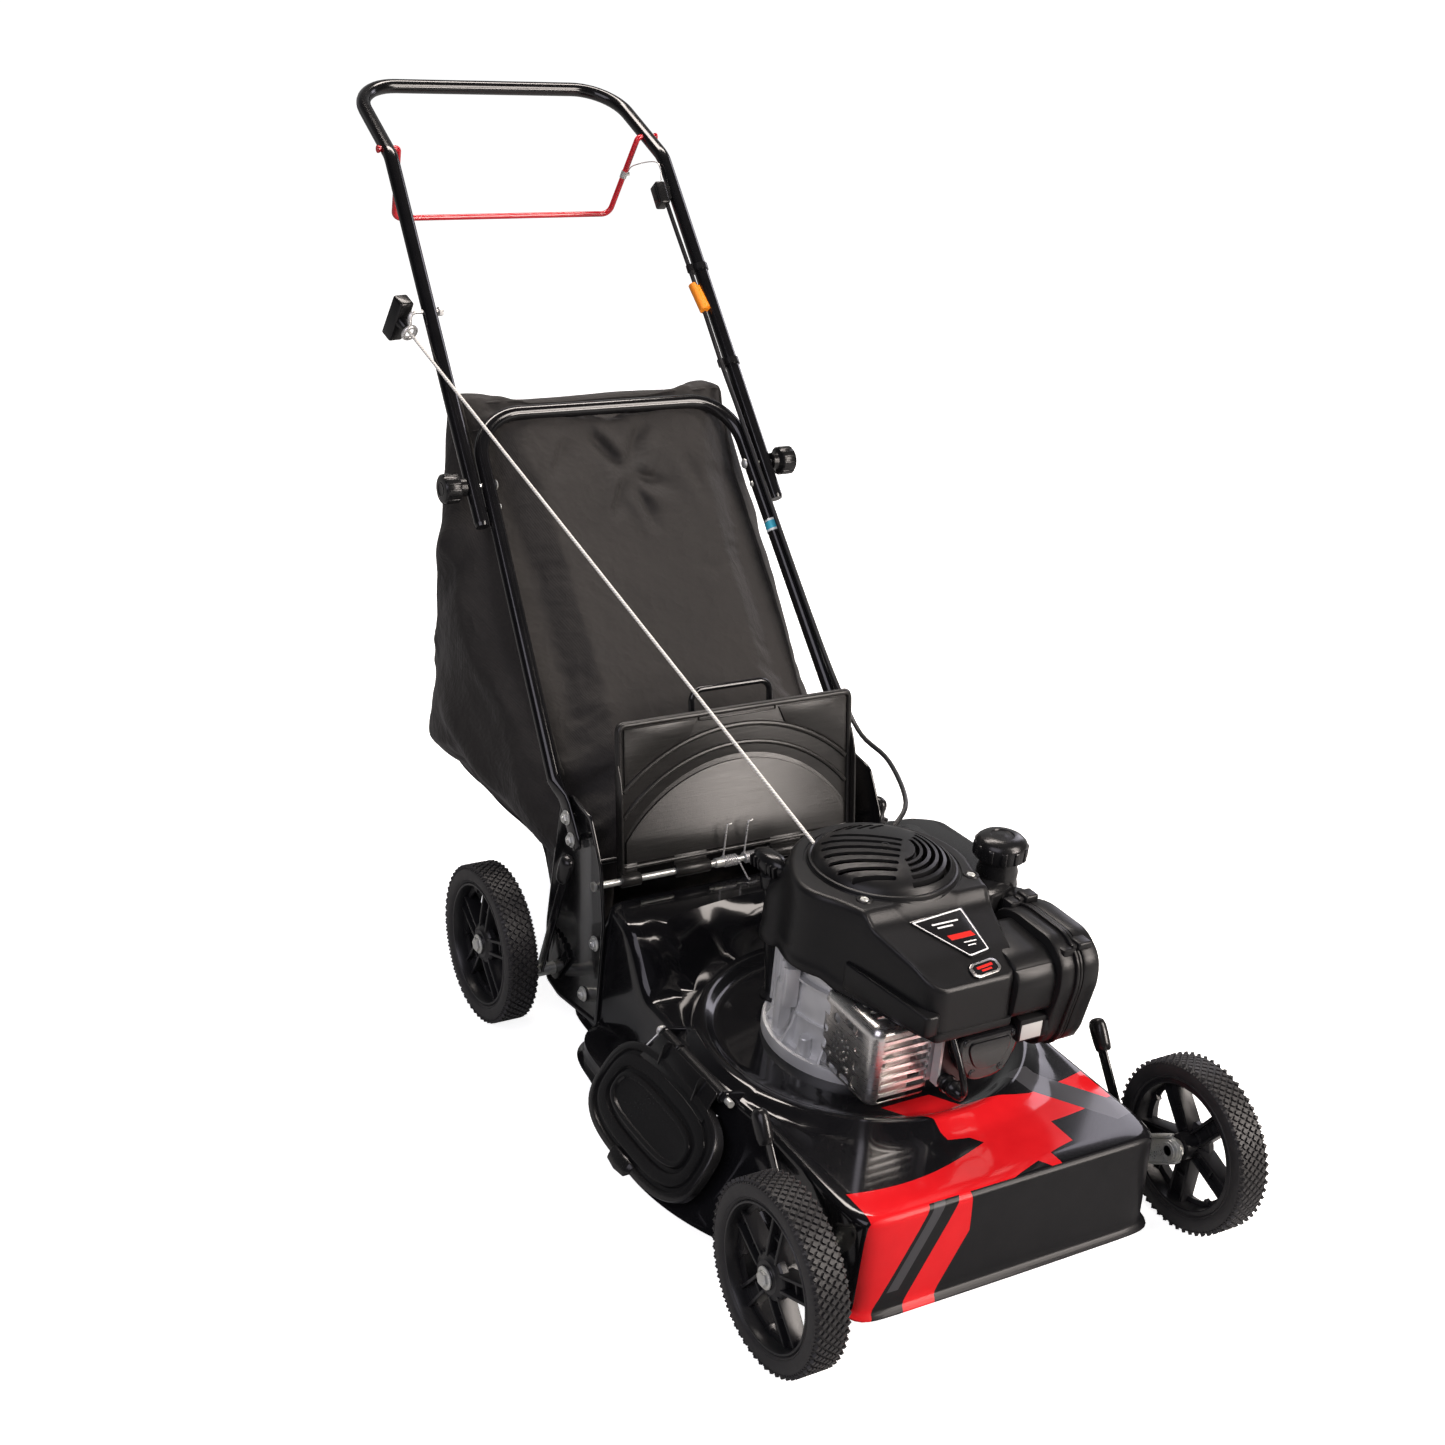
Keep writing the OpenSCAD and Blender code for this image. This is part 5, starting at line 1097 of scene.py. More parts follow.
def makeTank():
    tank = platePart([(92, -44), (138, -46), (184, -24), (188, 60), (182, 132), (150, 157), (104, 156), (88, 120),
                      (86, 40)], 100, 16, 0, 5)
    for v in tank.verts:
        if v.co.z > 50:
            v.co.z = 100 - max(0, (v.co.x - 150)) * 0.12 - 10 * ease((v.co.y - 120) / 60)
    softEdges(tank, 11, 4, 40)
    shape = Shape().take(tank, moved(z=83))
    shape.take(turnPart([(0, 20), (23, 20), (24, 40), (22, 46), (21, 68), (0, 68)], 48), moved(155, -12, 148))
    lobe = turnPart([(0, 0), (21, 0), (22.5, 6), (22.5, 34), (20, 41), (14, 45), (0, 46)], 40)
    shape.take(lobe, moved(160, -47, 128))
    shape.take(boxPart((143, 177), (-60, -20), (130, 166), 6, 3))
    shape.take(platePart([(98, -20), (128, -22), (134, 60), (132, 120), (104, 124), (96, 60)], 3, 8, 1.4),
               moved(z=182.4))
    Shape().take(shape.mesh, engine).make("tankShell", "mower", smoothPlastic, "fuel_tank", "engine_plastic")
    cap = Shape(turnPart([(0, 0), (25, 0), (28, 1.5), (28.3, 14), (27, 18.5), (23, 22), (17, 24), (13, 24.4),
                          (12, 23.4), (4, 23.6), (0, 24.4)], 60))
    for i in range(12):
        cap.take(boxPart((25.6, 29.6), (-3.4, 3.4), (1.5, 16), 1.8, 3), turned(30 * i, "Z"))
    whole = Shape().take(cap.mesh, Matrix.Diagonal((1.07, 1.07, 1.12, 1)), moved(155, -12, 204), engine)
    whole.make("tankCap", "cap_body", smoothPlastic, "fuel_cap", "engine_plastic")


filterOutline = [(-109, 199), (-176, 199), (-202, 180), (-207, 152), (-192, 78), (-178, 60), (-150, 54), (-100, 60),
                 (-78, 88), (-72, 164), (-84, 190)]


def spread(outline, by):
    cx, cy = sum(p[0] for p in outline) / len(outline), sum(p[1] for p in outline) / len(outline)
    return [(cx + (u - cx) * (1 + by / 66), cy + (v - cy) * (1 + by / 66)) for u, v in outline]


def makeFilter():
    base = Shape().take(platePart(spread(filterOutline, -2), 22, 12, 3), sideways, moved(x=100))
    base.take(platePart(spread(filterOutline, 1), 4, 12, 1.2), sideways, moved(x=119))
    duct = platePart([(-100, 188), (-178, 184), (-197, 166), (-194, 116), (-100, 108)], 64, 14, 6, 4)
    base.take(duct, sideways, moved(x=48))
    base.take(platePart([(-110, 192), (-176, 190), (-200, 170), (-198, 110), (-110, 104)], 7, 14, 2.4, 4), sideways,
              moved(x=103))
    base.take(rodPart((84, -120, 74), (108, -130, 80), 16, steps=32))
    for y, z in ((-186, 176), (-92, 184), (-160, 66)):
        base.take(boxPart((106, 123), (y - 8, y + 8), (z - 4, z + 14), 2.5, 2))
    Shape().take(base.mesh, engine).make("filterBase", "mower", enginePlastic, "air_filter_base", "engine_plastic")
    lid = Shape().take(platePart(filterOutline, 3.6, 12, 1.2), sideways, moved(x=124.4))
    lid.take(platePart(spread(filterOutline, -2.6), 6, 12, 0.6), sideways, moved(x=126))
    body = platePart(spread(filterOutline, -0.5), 22, 12, 7, 4)
    lid.take(body, sideways, moved(x=129.4))
    lid.take(platePart(spread(filterOutline, -26), 2.4, 9, 1.2), sideways, moved(x=150.8))
    for y, z in ((-186, 176), (-92, 184)):  # latch tabs
        lid.take(boxPart((125, 143), (y - 9, y + 9), (z + 10, z + 19), 2.4, 3))
        lid.take(boxPart((119, 128), (y - 6, y + 6), (z + 11, z + 16), 1.5, 2))
    Shape().take(lid.mesh, engine).make("filterLid", "filter_cover_body", enginePlastic, "air_filter_cover",
                                        "engine_plastic")


def makeFiller():
    foot, aim = Vector((-66, 86, 15)), Vector((-26, -4, 180)).normalized()
    top = foot + aim * 162
    tube = Shape(turnPart([(0, 0), (16, 0), (16, 4), (10.5, 8), (9.2, 12), (9.2, 148), (11.5, 150), (12.5, 154),
                           (12.5, 162), (7.5, 162), (7.5, 20), (0, 20)], 36))
    place = Matrix.Translation(foot) @ facing(aim)
    Shape().take(tube.mesh, place, engine).make("fillerTube", "mower", smoothPlastic, "oil_fill_tube", "engine_plastic")
    handle = Shape(turnPart([(0, 0), (12.5, 0), (12.5, 6), (10, 8), (0, 8)], 36))
    rings = [((0, 0, z), (rx, 0, 0), (0, ry, 0)) for z, rx, ry in ((7, 9, 8), (9, 16, 10), (12, 23.5, 12.6),
            (16, 26.5, 13.4), (22, 27, 13.6), (27, 25, 12), (31, 19, 9), (32.6, 10, 5), (33, 2, 1))]
    handle.take(loftPart(rings, 40))
    for x in (-19.5, -13, -6.5, 6.5, 13, 19.5):
        handle.take(boxPart((x - 1.3, x + 1.3), (-14.2, 14.2), (13, 27), 1.2, 2))
    handle.take(rodPart((0, 0, 0), (0, 0, -120), 3, steps=12))
    Shape().take(handle.mesh, Matrix.Translation(top) @ facing(aim), engine).make(
        "dipstickHandle", "dipstick_body", smoothPlastic, "dipstick", "engine_plastic")


def makeLabels():
    # plain rating plate: white edge, red bar and pale dashes
    rise = math.degrees(atan2(16, 54))
    seat = [turned(rise, "X"), moved(8, -128, onLine(shroud["slope"], -128) + 0.6), engine]
    outer = [(-42, 29), (31, 35), (28, -31), (0, -35)]
    Shape().take(platePart(outer, 0.9, 3, 0.2), *seat).make("plateBack", "mower", blackFilm, slot="engine_plastic")
    field = Shape().take(platePart(spread(outer, -8), 3, 2), moved(z=-1))
    line = carve(platePart(spread(outer, -4.5), 0.4, 2), field.mesh)
    Shape().take(line, moved(z=0.8), *seat).make("plateEdge", "mower", whiteFilm, slot="engine_plastic")
    bar = Shape().take(platePart([(-8, -7), (23, -7), (21, 0), (-10, 0)], 0.3), moved(z=0.8))
    Shape().take(bar.mesh, *seat).make("plateBar", "mower", redFilm, slot="engine_plastic")
    dashes = Shape()
    for x0, x1, y0, y1 in ((-18, 16, 17, 19), (-14, 6, 11.5, 13.5), (4, 20, -14, -12.6), (6, 16, -19, -17.6)):
        dashes.take(boxPart((x0, x1), (y0, y1), (0.8, 1.15)))
    Shape().take(dashes.mesh, *seat).make("plateDashes", "mower", whiteFilm, slot="engine_plastic")
    # plain badge on the nose: silver edge, red stripe
    spot = [turned(24, "X"), turned(8, "Z"), moved(17, -174, onLine(shroud["slope"], -174) + 0.4), engine]
    rim = platePart([(-20, -5), (-14, -9), (14, -9), (20, -5), (20, 5), (14, 9), (-14, 9), (-20, 5)], 1.6, 1.5, 0.5)
    Shape().take(rim, *spot).make("noseBadge", "mower", guardSteel, slot="guard_metal")
    field = platePart([(-16, -4), (-12, -6.4), (12, -6.4), (16, -4), (16, 4), (12, 6.4), (-12, 6.4), (-16, 4)], 0.4, 1)
    Shape().take(field, moved(z=1.5), *spot).make("noseBadgeField", "mower", blackFilm, slot="engine_plastic")
    stripes = Shape(boxPart((-11, 11), (0.4, 3.4), (1.6, 2.2)), boxPart((-7, 7), (-3.6, -1.4), (1.6, 2.2)))
    Shape().take(stripes.mesh, *spot).make("noseBadgeStripe", "mower", redFilm, slot="engine_plastic")
    block = Shape().take(boxPart((64, 104), (-191.8, -150), (84, 112), 2), engine)
    block.take(rodPart((100, -188, 92), (100, -188, 106), 6), engine)
    block.make("stickerSeat", "mower", enginePlastic, slot="engine_plastic")
    sticker = Shape().take(boxPart((66, 94), (-192.4, -191.7), (87, 106), 0.2), engine)
    sticker.make("dataSticker", "mower", paleFilm, slot="engine_plastic")


makeShroud()
makeDome()
makeGuard()
makeCrankcase()
makeValveCover()
makeTank()
makeFilter()
makeFiller()
makeLabels()
print("engine made")


# handle, measured along its legs
handle = {"r": 9.5, "lean": 42.7, "fold": (580.2, 611.7), "foldAlong": 450, "lowerTop": 546, "upperFrom": 395,
          "knee": 922,
          "clips": (600, 745), "tape": (349, 366)}


def legAt(x, along, off=0.0):
    lean = radians(handle["lean"])
    return Vector((x, 275 + 0.6782 * along + off * cos(lean), 281 + 0.7349 * along - off * sin(lean)))


def lowerX(along):
    return 213 - 25 * along / 546


def upperX(along):
    return 214.8 - 12.8 * (along - 395) / 527


def flatEnd(s):  # tube pressed flat where it is bolted on
    lean = radians(handle["lean"])
    across, rings = Vector((0, cos(lean), -sin(lean))), []
    for along, half, deep, x in ((-28, 4, 3.2, 205), (-27.4, 8, 4, 205), (-24, 11, 4, 205), (-16, 12.6, 4, 205),
                                 (-4, 13, 4, 205), (26, 13, 4, 205),
                                 (38, 12.4, 4.6, 205.6), (50, 10.8, 7.4, 208.4), (60, 9.6, 9.3, lowerX(60)),
                                 (66, 9.5, 9.5, lowerX(66))):
        rings.append((legAt(s * x, along), Vector((deep, 0, 0)), across * half))
    return loftPart(rings, 28)


def makeHandles():
    h, r, top, ends, knee = handle, handle["r"], handle["lowerTop"], handle["upperFrom"], handle["knee"]
    low = Shape(flatEnd(1), flatEnd(-1))
    corners = [legAt(-lowerX(62), 62), legAt(-lowerX(top), top), legAt(lowerX(top), top), legAt(lowerX(62), 62)]
    low.take(wirePart(bentPath(corners, (66, 66), 14), r, sides=8))
    low.make("lowerTube", "mower", tubePaint, "lower_handle", "frame_paint", smooth=40)
    high = Shape()
    path = [legAt(-upperX(ends + 4), ends + 4), legAt(-upperX(knee), knee), Vector((-195, 1061.3, 1023.6)),
            Vector((195, 1061.3, 1023.6)),
            legAt(upperX(knee), knee), legAt(upperX(ends + 4), ends + 4)]
    high.take(wirePart(bentPath(path, (46, 64, 64, 46), 12), r, sides=8))
    for s in (1, -1):  # closed tube ends
        a, b = legAt(s * upperX(ends), ends), legAt(s * upperX(ends + 5), ends + 5)
        high.take(rodPart(a, b, 8.2, r, 32))
        high.take(rodPart(legAt(s * (upperX(418) - 8.9), 418), legAt(s * (upperX(418) - 10.4), 418), 4, 3, 16))
    high.make("upperTube", "upper_handle_body", tubePaint, "upper_handle", "frame_paint", smooth=40)
    bolts = Shape()
    for s in (1, -1):
        y, z = h["fold"]
        inner = lowerX(h["foldAlong"]) - r
        bolts.take(rodPart((s * (inner - 0.5), y, z), (s * (upperX(h["foldAlong"]) + 11), y, z), 2.9, steps=20))
        bolts.take(turnPart([(0, -3.4), (4, -3), (6.4, -1.4), (7, 0), (0, 0)], 28), turned(90 * s, "Y"),
                   moved(s * inner, y, z))
        spot = legAt(s * (lowerX(420) - 9.6), 420)
        bolts.take(turnPart([(0, -1.6), (3.4, -1), (4, 0.6), (0, 0.6)], 20), turned(90 * s, "Y"), moved(*spot))
    bolts.make("foldBolts", "mower", zinc, "handle_bolts", "zinc")
    for side, s in (("right", -1), ("left", 1)):
        knob = Shape(turnPart([(3.2, 0), (11.4, 0), (11.4, 7.4), (13, 8.6), (17.2, 10), (18.3, 12.4), (18.3, 28),
                               (16.6, 31), (12, 32), (6, 31.4), (0, 31)], 48))
        for i in range(8):
            knob.take(boxPart((15.4, 19), (-4.6, 4.6), (10.4, 30), 2, 3), turned(45 * i, "Z"))
        knob.take(turnPart([(7, 31.2), (8.4, 32.4), (9.8, 31.4)], 36, True))
        y, z = h["fold"]
        Shape().take(knob.mesh, turned(90 * s, "Y"), moved(s * (upperX(h["foldAlong"]) + 10.7), y, z)).make(
            f"knobCap_{side}", f"knob_{side}_body", smoothPlastic, f"knob_{side}", "body_plastic")
    clips = Shape()
    for along in h["clips"]:  # round the left leg and the cable
        a, b = legAt(upperX(along), along - 4.5), legAt(upperX(along), along + 4.5)
        clips.take(rodPart(a, b, 11.3, steps=32))
        clips.take(rodPart(legAt(upperX(along) - 15.5, along - 5), legAt(upperX(along) - 15.5, along + 5), 5, steps=20))
        hook = Shape(boxPart((-4, 4), (-5, 5), (9, 18), 2, 2))
        clips.take(hook.mesh, turned(-h["lean"], "X"), moved(*legAt(upperX(along) + 3, along)))
    x, at860 = upperX(860) - r - 15, legAt(0, 860)
    block = Shape(boxPart((x - 7.4, x + 7.4), (-10, 10), (-17, 17), 2.6, 3))
    block.take(boxPart((x - 4, x + 14), (-7, 7), (-9, 9), 2, 2))
    block.take(boxPart((x - 8.4, x + 2), (-5, 5), (-13, 13), 1.4, 2))
    block.take(rodPart((x - 8.8, 0, -4), (x - 6, 0, -4), 4, steps=20))
    clips.take(block.mesh, turned(-h["lean"], "X"), moved(0, at860.y, at860.z))
    clips.make("cableClips", "upper_handle_body", smoothPlastic, "cable_bracket", "body_plastic")
    sleeve = Shape(wirePart(softPath([(189.4, 767, 809), (190, 749, 795), (190.4, 732, 782)], 4), 6.4, sides=4))
    sleeve.take(wirePart([(194, 764, 806), (194.6, 733, 784)], 5.6, sides=4))
    sleeve.make("cableTag", "upper_handle_body", orangeSleeve, slot="cable_sheath")
    (start, end), x = h["tape"], lowerX(357)
    Shape(wirePart([legAt(x, start), legAt(x, end)], r + 0.25, sides=8)).make("tapeBand", "mower", blueTape,
            slot="frame_paint")
    for k, (p, q) in enumerate(((start, start + 3), (end - 3, end))):
        Shape(wirePart([legAt(x, p), legAt(x, q)], 9.85, sides=8)).make(f"tapeEdge_{k}", "mower", paleTape,
                slot="frame_paint")
    print("handles made")


makeHandles()

bail = {"right": (-202, 916.3, 965.1), "left": (202, 946.3, 977.2),
        "drops": [(-165, 975.3, 862.6), (163, 975.3, 864.6)], "r": 4}


def makeBail():
    right, left = Vector(bail["right"]), Vector(bail["left"])
    axis = (left - right).normalized()
    start, end = right - axis * 13, left + axis * 13
    path = bentPath([start, right + axis * 17, bail["drops"][0], bail["drops"][1], left - axis * 17, end],
                    (6, 14, 14, 6), 8)
    shape = Shape(wirePart(path, bail["r"], sides=6))
    shape.take(rodPart(start - axis * 0.1, start + axis * 2, 5, steps=24))
    shape.take(rodPart(end + axis * 0.1, end - axis * 2, 5, steps=24))
    shape.make("bailRod", "bail_body", bailPaint, "stop_bail", "bail_paint", smooth=45)
    base, tip = left - axis * 17, Vector(bail["drops"][1])
    spot = base + (tip - base) * 0.48
    clip = Shape(wirePart([spot - (tip - base).normalized() * 5, spot + (tip - base).normalized() * 5], 4.9, sides=5))
    clip.take(rodPart(spot, spot + Vector((8, -1, 1)), 2.4, steps=16))
    clip.make("bailClip", "bail_body", zinc, slot="zinc")


makeBail()

rope = {"from": (-66, -28, 385), "eye": (-234, 745.3, 765.8), "along": (-0.1913, 0.8806, 0.4336), "r": 2}


def makeGrip():
    along = Vector(rope["along"])
    tilt, swing = math.acos(along.z), atan2(along.y, along.x)
    place = Matrix.Translation(Vector(rope["eye"]) + along * 8.8)
    place = place @ Matrix.Rotation(swing, 4, "Z") @ Matrix.Rotation(tilt, 4, "Y")
    grip = Shape(turnPart([(2.4, 0), (5, 0), (5.6, 1), (8, 9), (8.6, 12), (2.4, 12)], 28, True))
    bar = boxPart((-30, 30), (-10.6, 10.6), (10.8, 31.6), 3.4, 3)
    for v in bar.verts:  # waisted a little in the middle
        v.co.y *= 0.86 + 0.14 * min(1, abs(v.co.x) / 24)
    inner = boxPart((-24, 24), (-14, -8.6), (15, 27), 2, 2)
    grip.take(carve(bar, inner))
    for x in (-16, -8, 0, 8, 16):
        grip.take(boxPart((x - 1, x + 1), (-9.6, -7.4), (15, 27), 0.3))
    Shape().take(grip.mesh, place).make("gripShell", "grip_body", smoothPlastic, "starter_grip", "body_plastic")


def makeRope():
    start, end = Vector(rope["from"]), Vector(rope["eye"]) + Vector(rope["along"]) * 8.5
    eye = Vector(rope["eye"]) - Vector(rope["along"]) * 3
    points = [start + (eye - start) * (i / 60) for i in range(61)] + [end]
    piece = Shape(wirePart(points, rope["r"], sides=3)).make("starterLine", None, twine, "starter_rope", "rope_fibre",
                                                             smooth=60)
    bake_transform(piece)
    # the last bit draws out behind the grip
    tail = [eye + (end - eye) * (i / 24) for i in range(25)]
    drawn = Shape(wirePart(tail, rope["r"] - 0.15, sides=3)).make("starterTail", None, twine, slot="rope_fibre",
            smooth=60)
    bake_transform(drawn)


def makeCables():
    x860 = upperX(860) - handle["r"]
    upper = [legAt(x860 - 8, 876.5), legAt(x860 - 8, 842), legAt(x860 - 6.5, 800), legAt(upperX(700) - 15.5, 700),
             legAt(upperX(640) - 15.5, 640),
             legAt(190, 590, -7), legAt(lowerX(530), 530, -14), legAt(lowerX(470), 470.15, -14)]
    lower = [legAt(lowerX(470), 470, -14), legAt(lowerX(400), 400, -14), legAt(lowerX(280), 280, -14),
             legAt(lowerX(170), 170, -16), legAt(lowerX(98), 98, -22),
             (194, 258, 350), (172, 166, 358), (128, 66, 356), (84, 31, 342), (64, 19, 312)]
    points = softPath(upper, 6) + softPath(lower, 6)[1:]
    piece = Shape(wirePart(points, 3, sides=4)).make("brakeCable", None, sheath,
                                                     ("brake_cable_upper", "brake_cable_lower"), "cable_sheath",
                                                     smooth=60)
    at(legAt(190, 500, -12))
    at(legAt(190, 430, -14))
    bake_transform(piece)
    ends = Shape()
    for a, b in ((points[0], points[2]), (points[-1], points[-4])):
        d = (Vector(b) - Vector(a)).normalized()
        ends.take(rodPart(Vector(a) + d * 0.5, Vector(a) + d * 12, 3.9, 3.6, 20))
        if a is points[0]:
            ends.make("cableEnd_top", "upper_handle_body", zinc, slot="zinc")
            ends = Shape()
    ends.make("cableEnd_engine", "mower", zinc, slot="zinc")


def makeBailWire():
    left, right = Vector(bail["left"]), Vector(bail["right"])
    axis = (left - right).normalized()
    tip = Vector(bail["drops"][1])
    spot = left - axis * 17 + (tip - left + axis * 17) * 0.48
    x860 = upperX(860) - handle["r"]
    points = softPath([spot + Vector((4.85, 0, 0)), spot + Vector((9, -10, 14)),
                       Vector((186, *legAt(0, 900).yz)) + Vector((0, 0, 10)), legAt(x860 - 8, 877.2)], 8)
    piece = Shape(wirePart(points, 0.8, sides=3)).make("bailLine", None, brightWire, "bail_wire", "zinc", smooth=60)
    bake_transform(piece)


makeGrip()
makeRope()
makeCables()
makeBailWire()
print("cords made")


# rear door
door = {"y": 214, "z": 231, "lean": 10.4, "half": 167, "low": 10, "high": 194, "arch": -63}


def arcPoints(r, half, count=40):
    top = math.asin(half / r)
    return [(r * sin(t), door["arch"] + r * cos(t)) for t in (-top + 2 * top * i / count for i in range(count + 1))]


def makeDoor():
    half, low, high = door["half"], door["low"], door["high"]
    panel = Shape().take(platePart([(-half, low), (half, low), (half, high), (-half, high)], 3.6, 10, 1.2, 5),
                         frontways, moved(y=10))
    rim = bentPath([(0, 6, low + 4), (half - 4, 6, low + 4), (half - 4, 6, high - 4), (-half + 4, 6, high - 4),
                    (-half + 4, 6, low + 4), (0, 6, low + 4)], (5, 8, 8, 5), 6)
    panel.take(wirePart(rim[:-1], 3.4, closed=True, sides=4))
    # raised fields: the half disc, the band round it and both corners
    disc = arcPoints(190, 156)
    field = platePart([(-156, low + 8)] + disc + [(156, low + 8)], 3, 0, 0.9)
    panel.take(field, frontways, moved(y=6.8))
    for s in (1, -1):
        arc = sorted((p for p in arcPoints(237, 157) if p[0] * s > 60), key=lambda p: -abs(p[0]))
        corner = platePart([(s * 157, high - 9)] + arc + [(s * 58, high - 9)], 2.6, 0, 0.9)
        panel.take(corner, frontways, moved(y=6.8))
    for r, thick in ((233, 3.6), (210, 3.2)):
        points = [(x, 6.6, z) for x, z in arcPoints(r, 158)]
        panel.take(wirePart(points, thick, sides=3))
    panel.take(boxPart((-54, 54), (4.6, 9.6), (high - 12.5, high - 10), 1, 2))
    for x in (-54, 54):
        panel.take(boxPart((x - 1.2, x + 1.2), (4.6, 9), (high - 12, high - 2), 1, 2))
    for s in (-1, 1):
        side = platePart([(-6, 10), (9, 10), (9, 144), (4, 144), (-2, 128), (-6, 110)], 2.6, 2, 0.8)
        panel.take(side, sideways, moved(x=half - 2.6), *mirrored(s))
    for x0, x1 in ((-167, -141), (-92, -45), (45, 92), (141, 167)):
        panel.take(turnPart([(4.1, x0), (7.6, x0), (8.1, x0 + 0.8), (8.1, x1 - 0.8), (7.6, x1), (4.1, x1)], 36, True),
                   turned(90, "Y"))
        panel.take(boxPart((x0 + 0.6, x1 - 0.6), (3.4, 9.6), (3, 19), 1.2, 2))
    place = [turned(-door["lean"], "X"), moved(0, door["y"], door["z"])]
    Shape().take(panel.mesh, *place).make("doorPanel", "door_body", bodyPlastic, "rear_door", "body_plastic", smooth=32)
    tube = Shape(turnPart([(4.2, -36), (6, -36), (6, -6), (4.2, -6)], 32, True))
    tube.take(turnPart([(4.2, 6), (6, 6), (6, 28), (4.2, 28)], 32, True))
    Shape().take(tube.mesh, turned(90, "Y"), moved(0, door["y"], door["z"])).make("doorSleeve", "mower", zinc,
            slot="zinc")


def coilPath(x0, x1, r, turns, steps=16):
    count = int(turns * steps)
    return [(x0 + (x1 - x0) * i / count, r * cos(2 * pi * i / steps), r * sin(2 * pi * i / steps))
            for i in range(count + 1)]


def makeSprings():
    springs = Shape()
    for x in (-26, 4):
        springs.take(wirePart(coilPath(x + 1.2, x + 20.8, 6.4, 7), 1.1, sides=3))
        springs.take(wirePart(softPath([(x + 21, -6.2, 0), (x + 21, -30, -12), (x + 21, -33, -10)], 4), 1.1, sides=3))
        springs.take(wirePart(bentPath([(x + 1, 0, 6.2), (x + 1, -2, 52), (x + 7, -2, 53)], (2,), 4), 1.1, sides=3))
    bmesh.ops.transform(springs.mesh, matrix=Matrix.Translation((0, door["y"], door["z"])), verts=springs.mesh.verts)
    springs.take(wirePart(coilPath(0.6, 4.6, 5.6, 2.6), 1, sides=3), turned(90, "Z"), moved(-211, 14, 150))
    springs.take(wirePart(bentPath([(-215.6, 16.5, 148), (-235, 16.5, 131.5), (-233, 10, 131)], (1.6,), 4), 1.1,
                          sides=3))
    springs.make("hingeSprings", "mower", brightWire, "hinge_springs", "zinc", smooth=60)


makeDoor()
makeSprings()

# side cover
cover = {"hinge": (-211, 150), "top": (-219, 155), "bottom": (-294, 44), "middle": (-57, 75), "half": (114, 60),
         "wall": 2.2}


def makeDeflector():
    down = Vector((cover["bottom"][0] - cover["top"][0], 0, cover["bottom"][1] - cover["top"][1]))
    reach = down.length
    down.normalize()
    outward = Vector((0, 1, 0)).cross(down)
    place = Matrix((Vector((0, 1, 0)), down, outward)).transposed().to_4x4()
    place = Matrix.Translation((cover["top"][0], 0, cover["top"][1])) @ place
    (mid, low), (halfU, halfV) = cover["middle"], cover["half"]

    def oval(a, inset):
        return (((abs(cos(a)) / (halfU - inset)) ** 3 + (abs(sin(a)) / (halfV - inset)) ** 3) ** (-1 / 3))
    heights = [(58, 0.4), (45, 0.6), (41, 0.8), (39.5, 3.2), (36, 3.6), (34.5, 3.2), (33, -1.2), (29, -1.6), (27, 2.2),
               (18, 2.6), (15, 2.2), (13.5, -1), (10, -1.2), (8, 2.4),
               (2.4, 2.4), (0.6, 1.2), (0, -1.5), (0, -6), (0.6, -12)]
    plate = loopPart([lambda a, t=t, h=h: (oval(a, t), h) for t, h in heights], 120, capped=(True, False))
    bmesh.ops.translate(plate, verts=plate.verts, vec=(mid, low, 0))
    bmesh.ops.solidify(plate, geom=list(plate.faces), thickness=cover["wall"])
    bmesh.ops.recalc_face_normals(plate, faces=plate.faces)
    shape = Shape(plate)
    neck = platePart([(-121, -1), (5, -1), (6, 16), (14, 34), (-128, 34), (-122, 16)], 3.2, 2, 0.8)
    shape.take(neck, moved(z=-1.6))
    for u in (-96, -20):  # gussets and their ribs
        shape.take(platePart([(-3, 0), (26, 0), (26, 2.4), (4, 8.5), (-3, 8)], 2.6, 0, 0.6), sideways, moved(x=u))
    tab = loftPart([((mid - 22, reach - 4, 1), (0, 5, 0), (0, 0, 2)),
                    ((mid - 18, reach - 2, 3.4), (0, 9, 0), (0, 0, 3)),
                    ((mid, reach - 1, 4.4), (0, 10, 0), (0, 0, 3.4)),
                    ((mid + 18, reach - 2, 3.4), (0, 9, 0), (0, 0, 3)),
                    ((mid + 22, reach - 4, 1), (0, 5, 0), (0, 0, 2))], 20)
    shape.take(tab)
    whole = Shape().take(shape.mesh, place)
    for y0, y1 in ((-122.6, -30), (-26, 6.6)):
        whole.take(turnPart([(4.2, y0), (7.4, y0), (8, y0 + 0.8), (8, y1 - 0.8), (7.4, y1), (4.2, y1)], 32, True),
                   turned(-90, "X"), moved(cover["hinge"][0], 0, cover["hinge"][1]))
    whole.make("sideCover", "deflector_body", smoothPlastic, "chute_deflector", "body_plastic", smooth=34)
    rods = Shape(rodPart((-204, 214, 231), (204, 214, 231), 4, steps=24),
                 rodPart((-211, -138, 150), (-211, 22, 150), 4, steps=24))
    for s in (1, -1):
        rods.take(rodPart((s * 201.4, 214, 231), (s * 204, 214, 231), 6, steps=24))
    rods.make("hingeRods", "mower", zinc, "hinge_rods", "zinc")


makeDeflector()
print("covers made")


# grass bag
bag = {"half": 193, "outline": [(275, 90), (310, 90), (392, 181), (720, 181), (720, 678), (712, 692), (676, 692),
                                (334, 326), (270, 226)],
       "voxel": 0.006, "swell": 4.0, "frames": 20, "most": 0.02, "cloth": 0.0016,
       "mouth": ((-150, 150), (240, 290), (100, 200))}


def bagFront(z):  # where the sloping front panel lies
    return 275 + (z - 281) * 0.9228 + 17.7


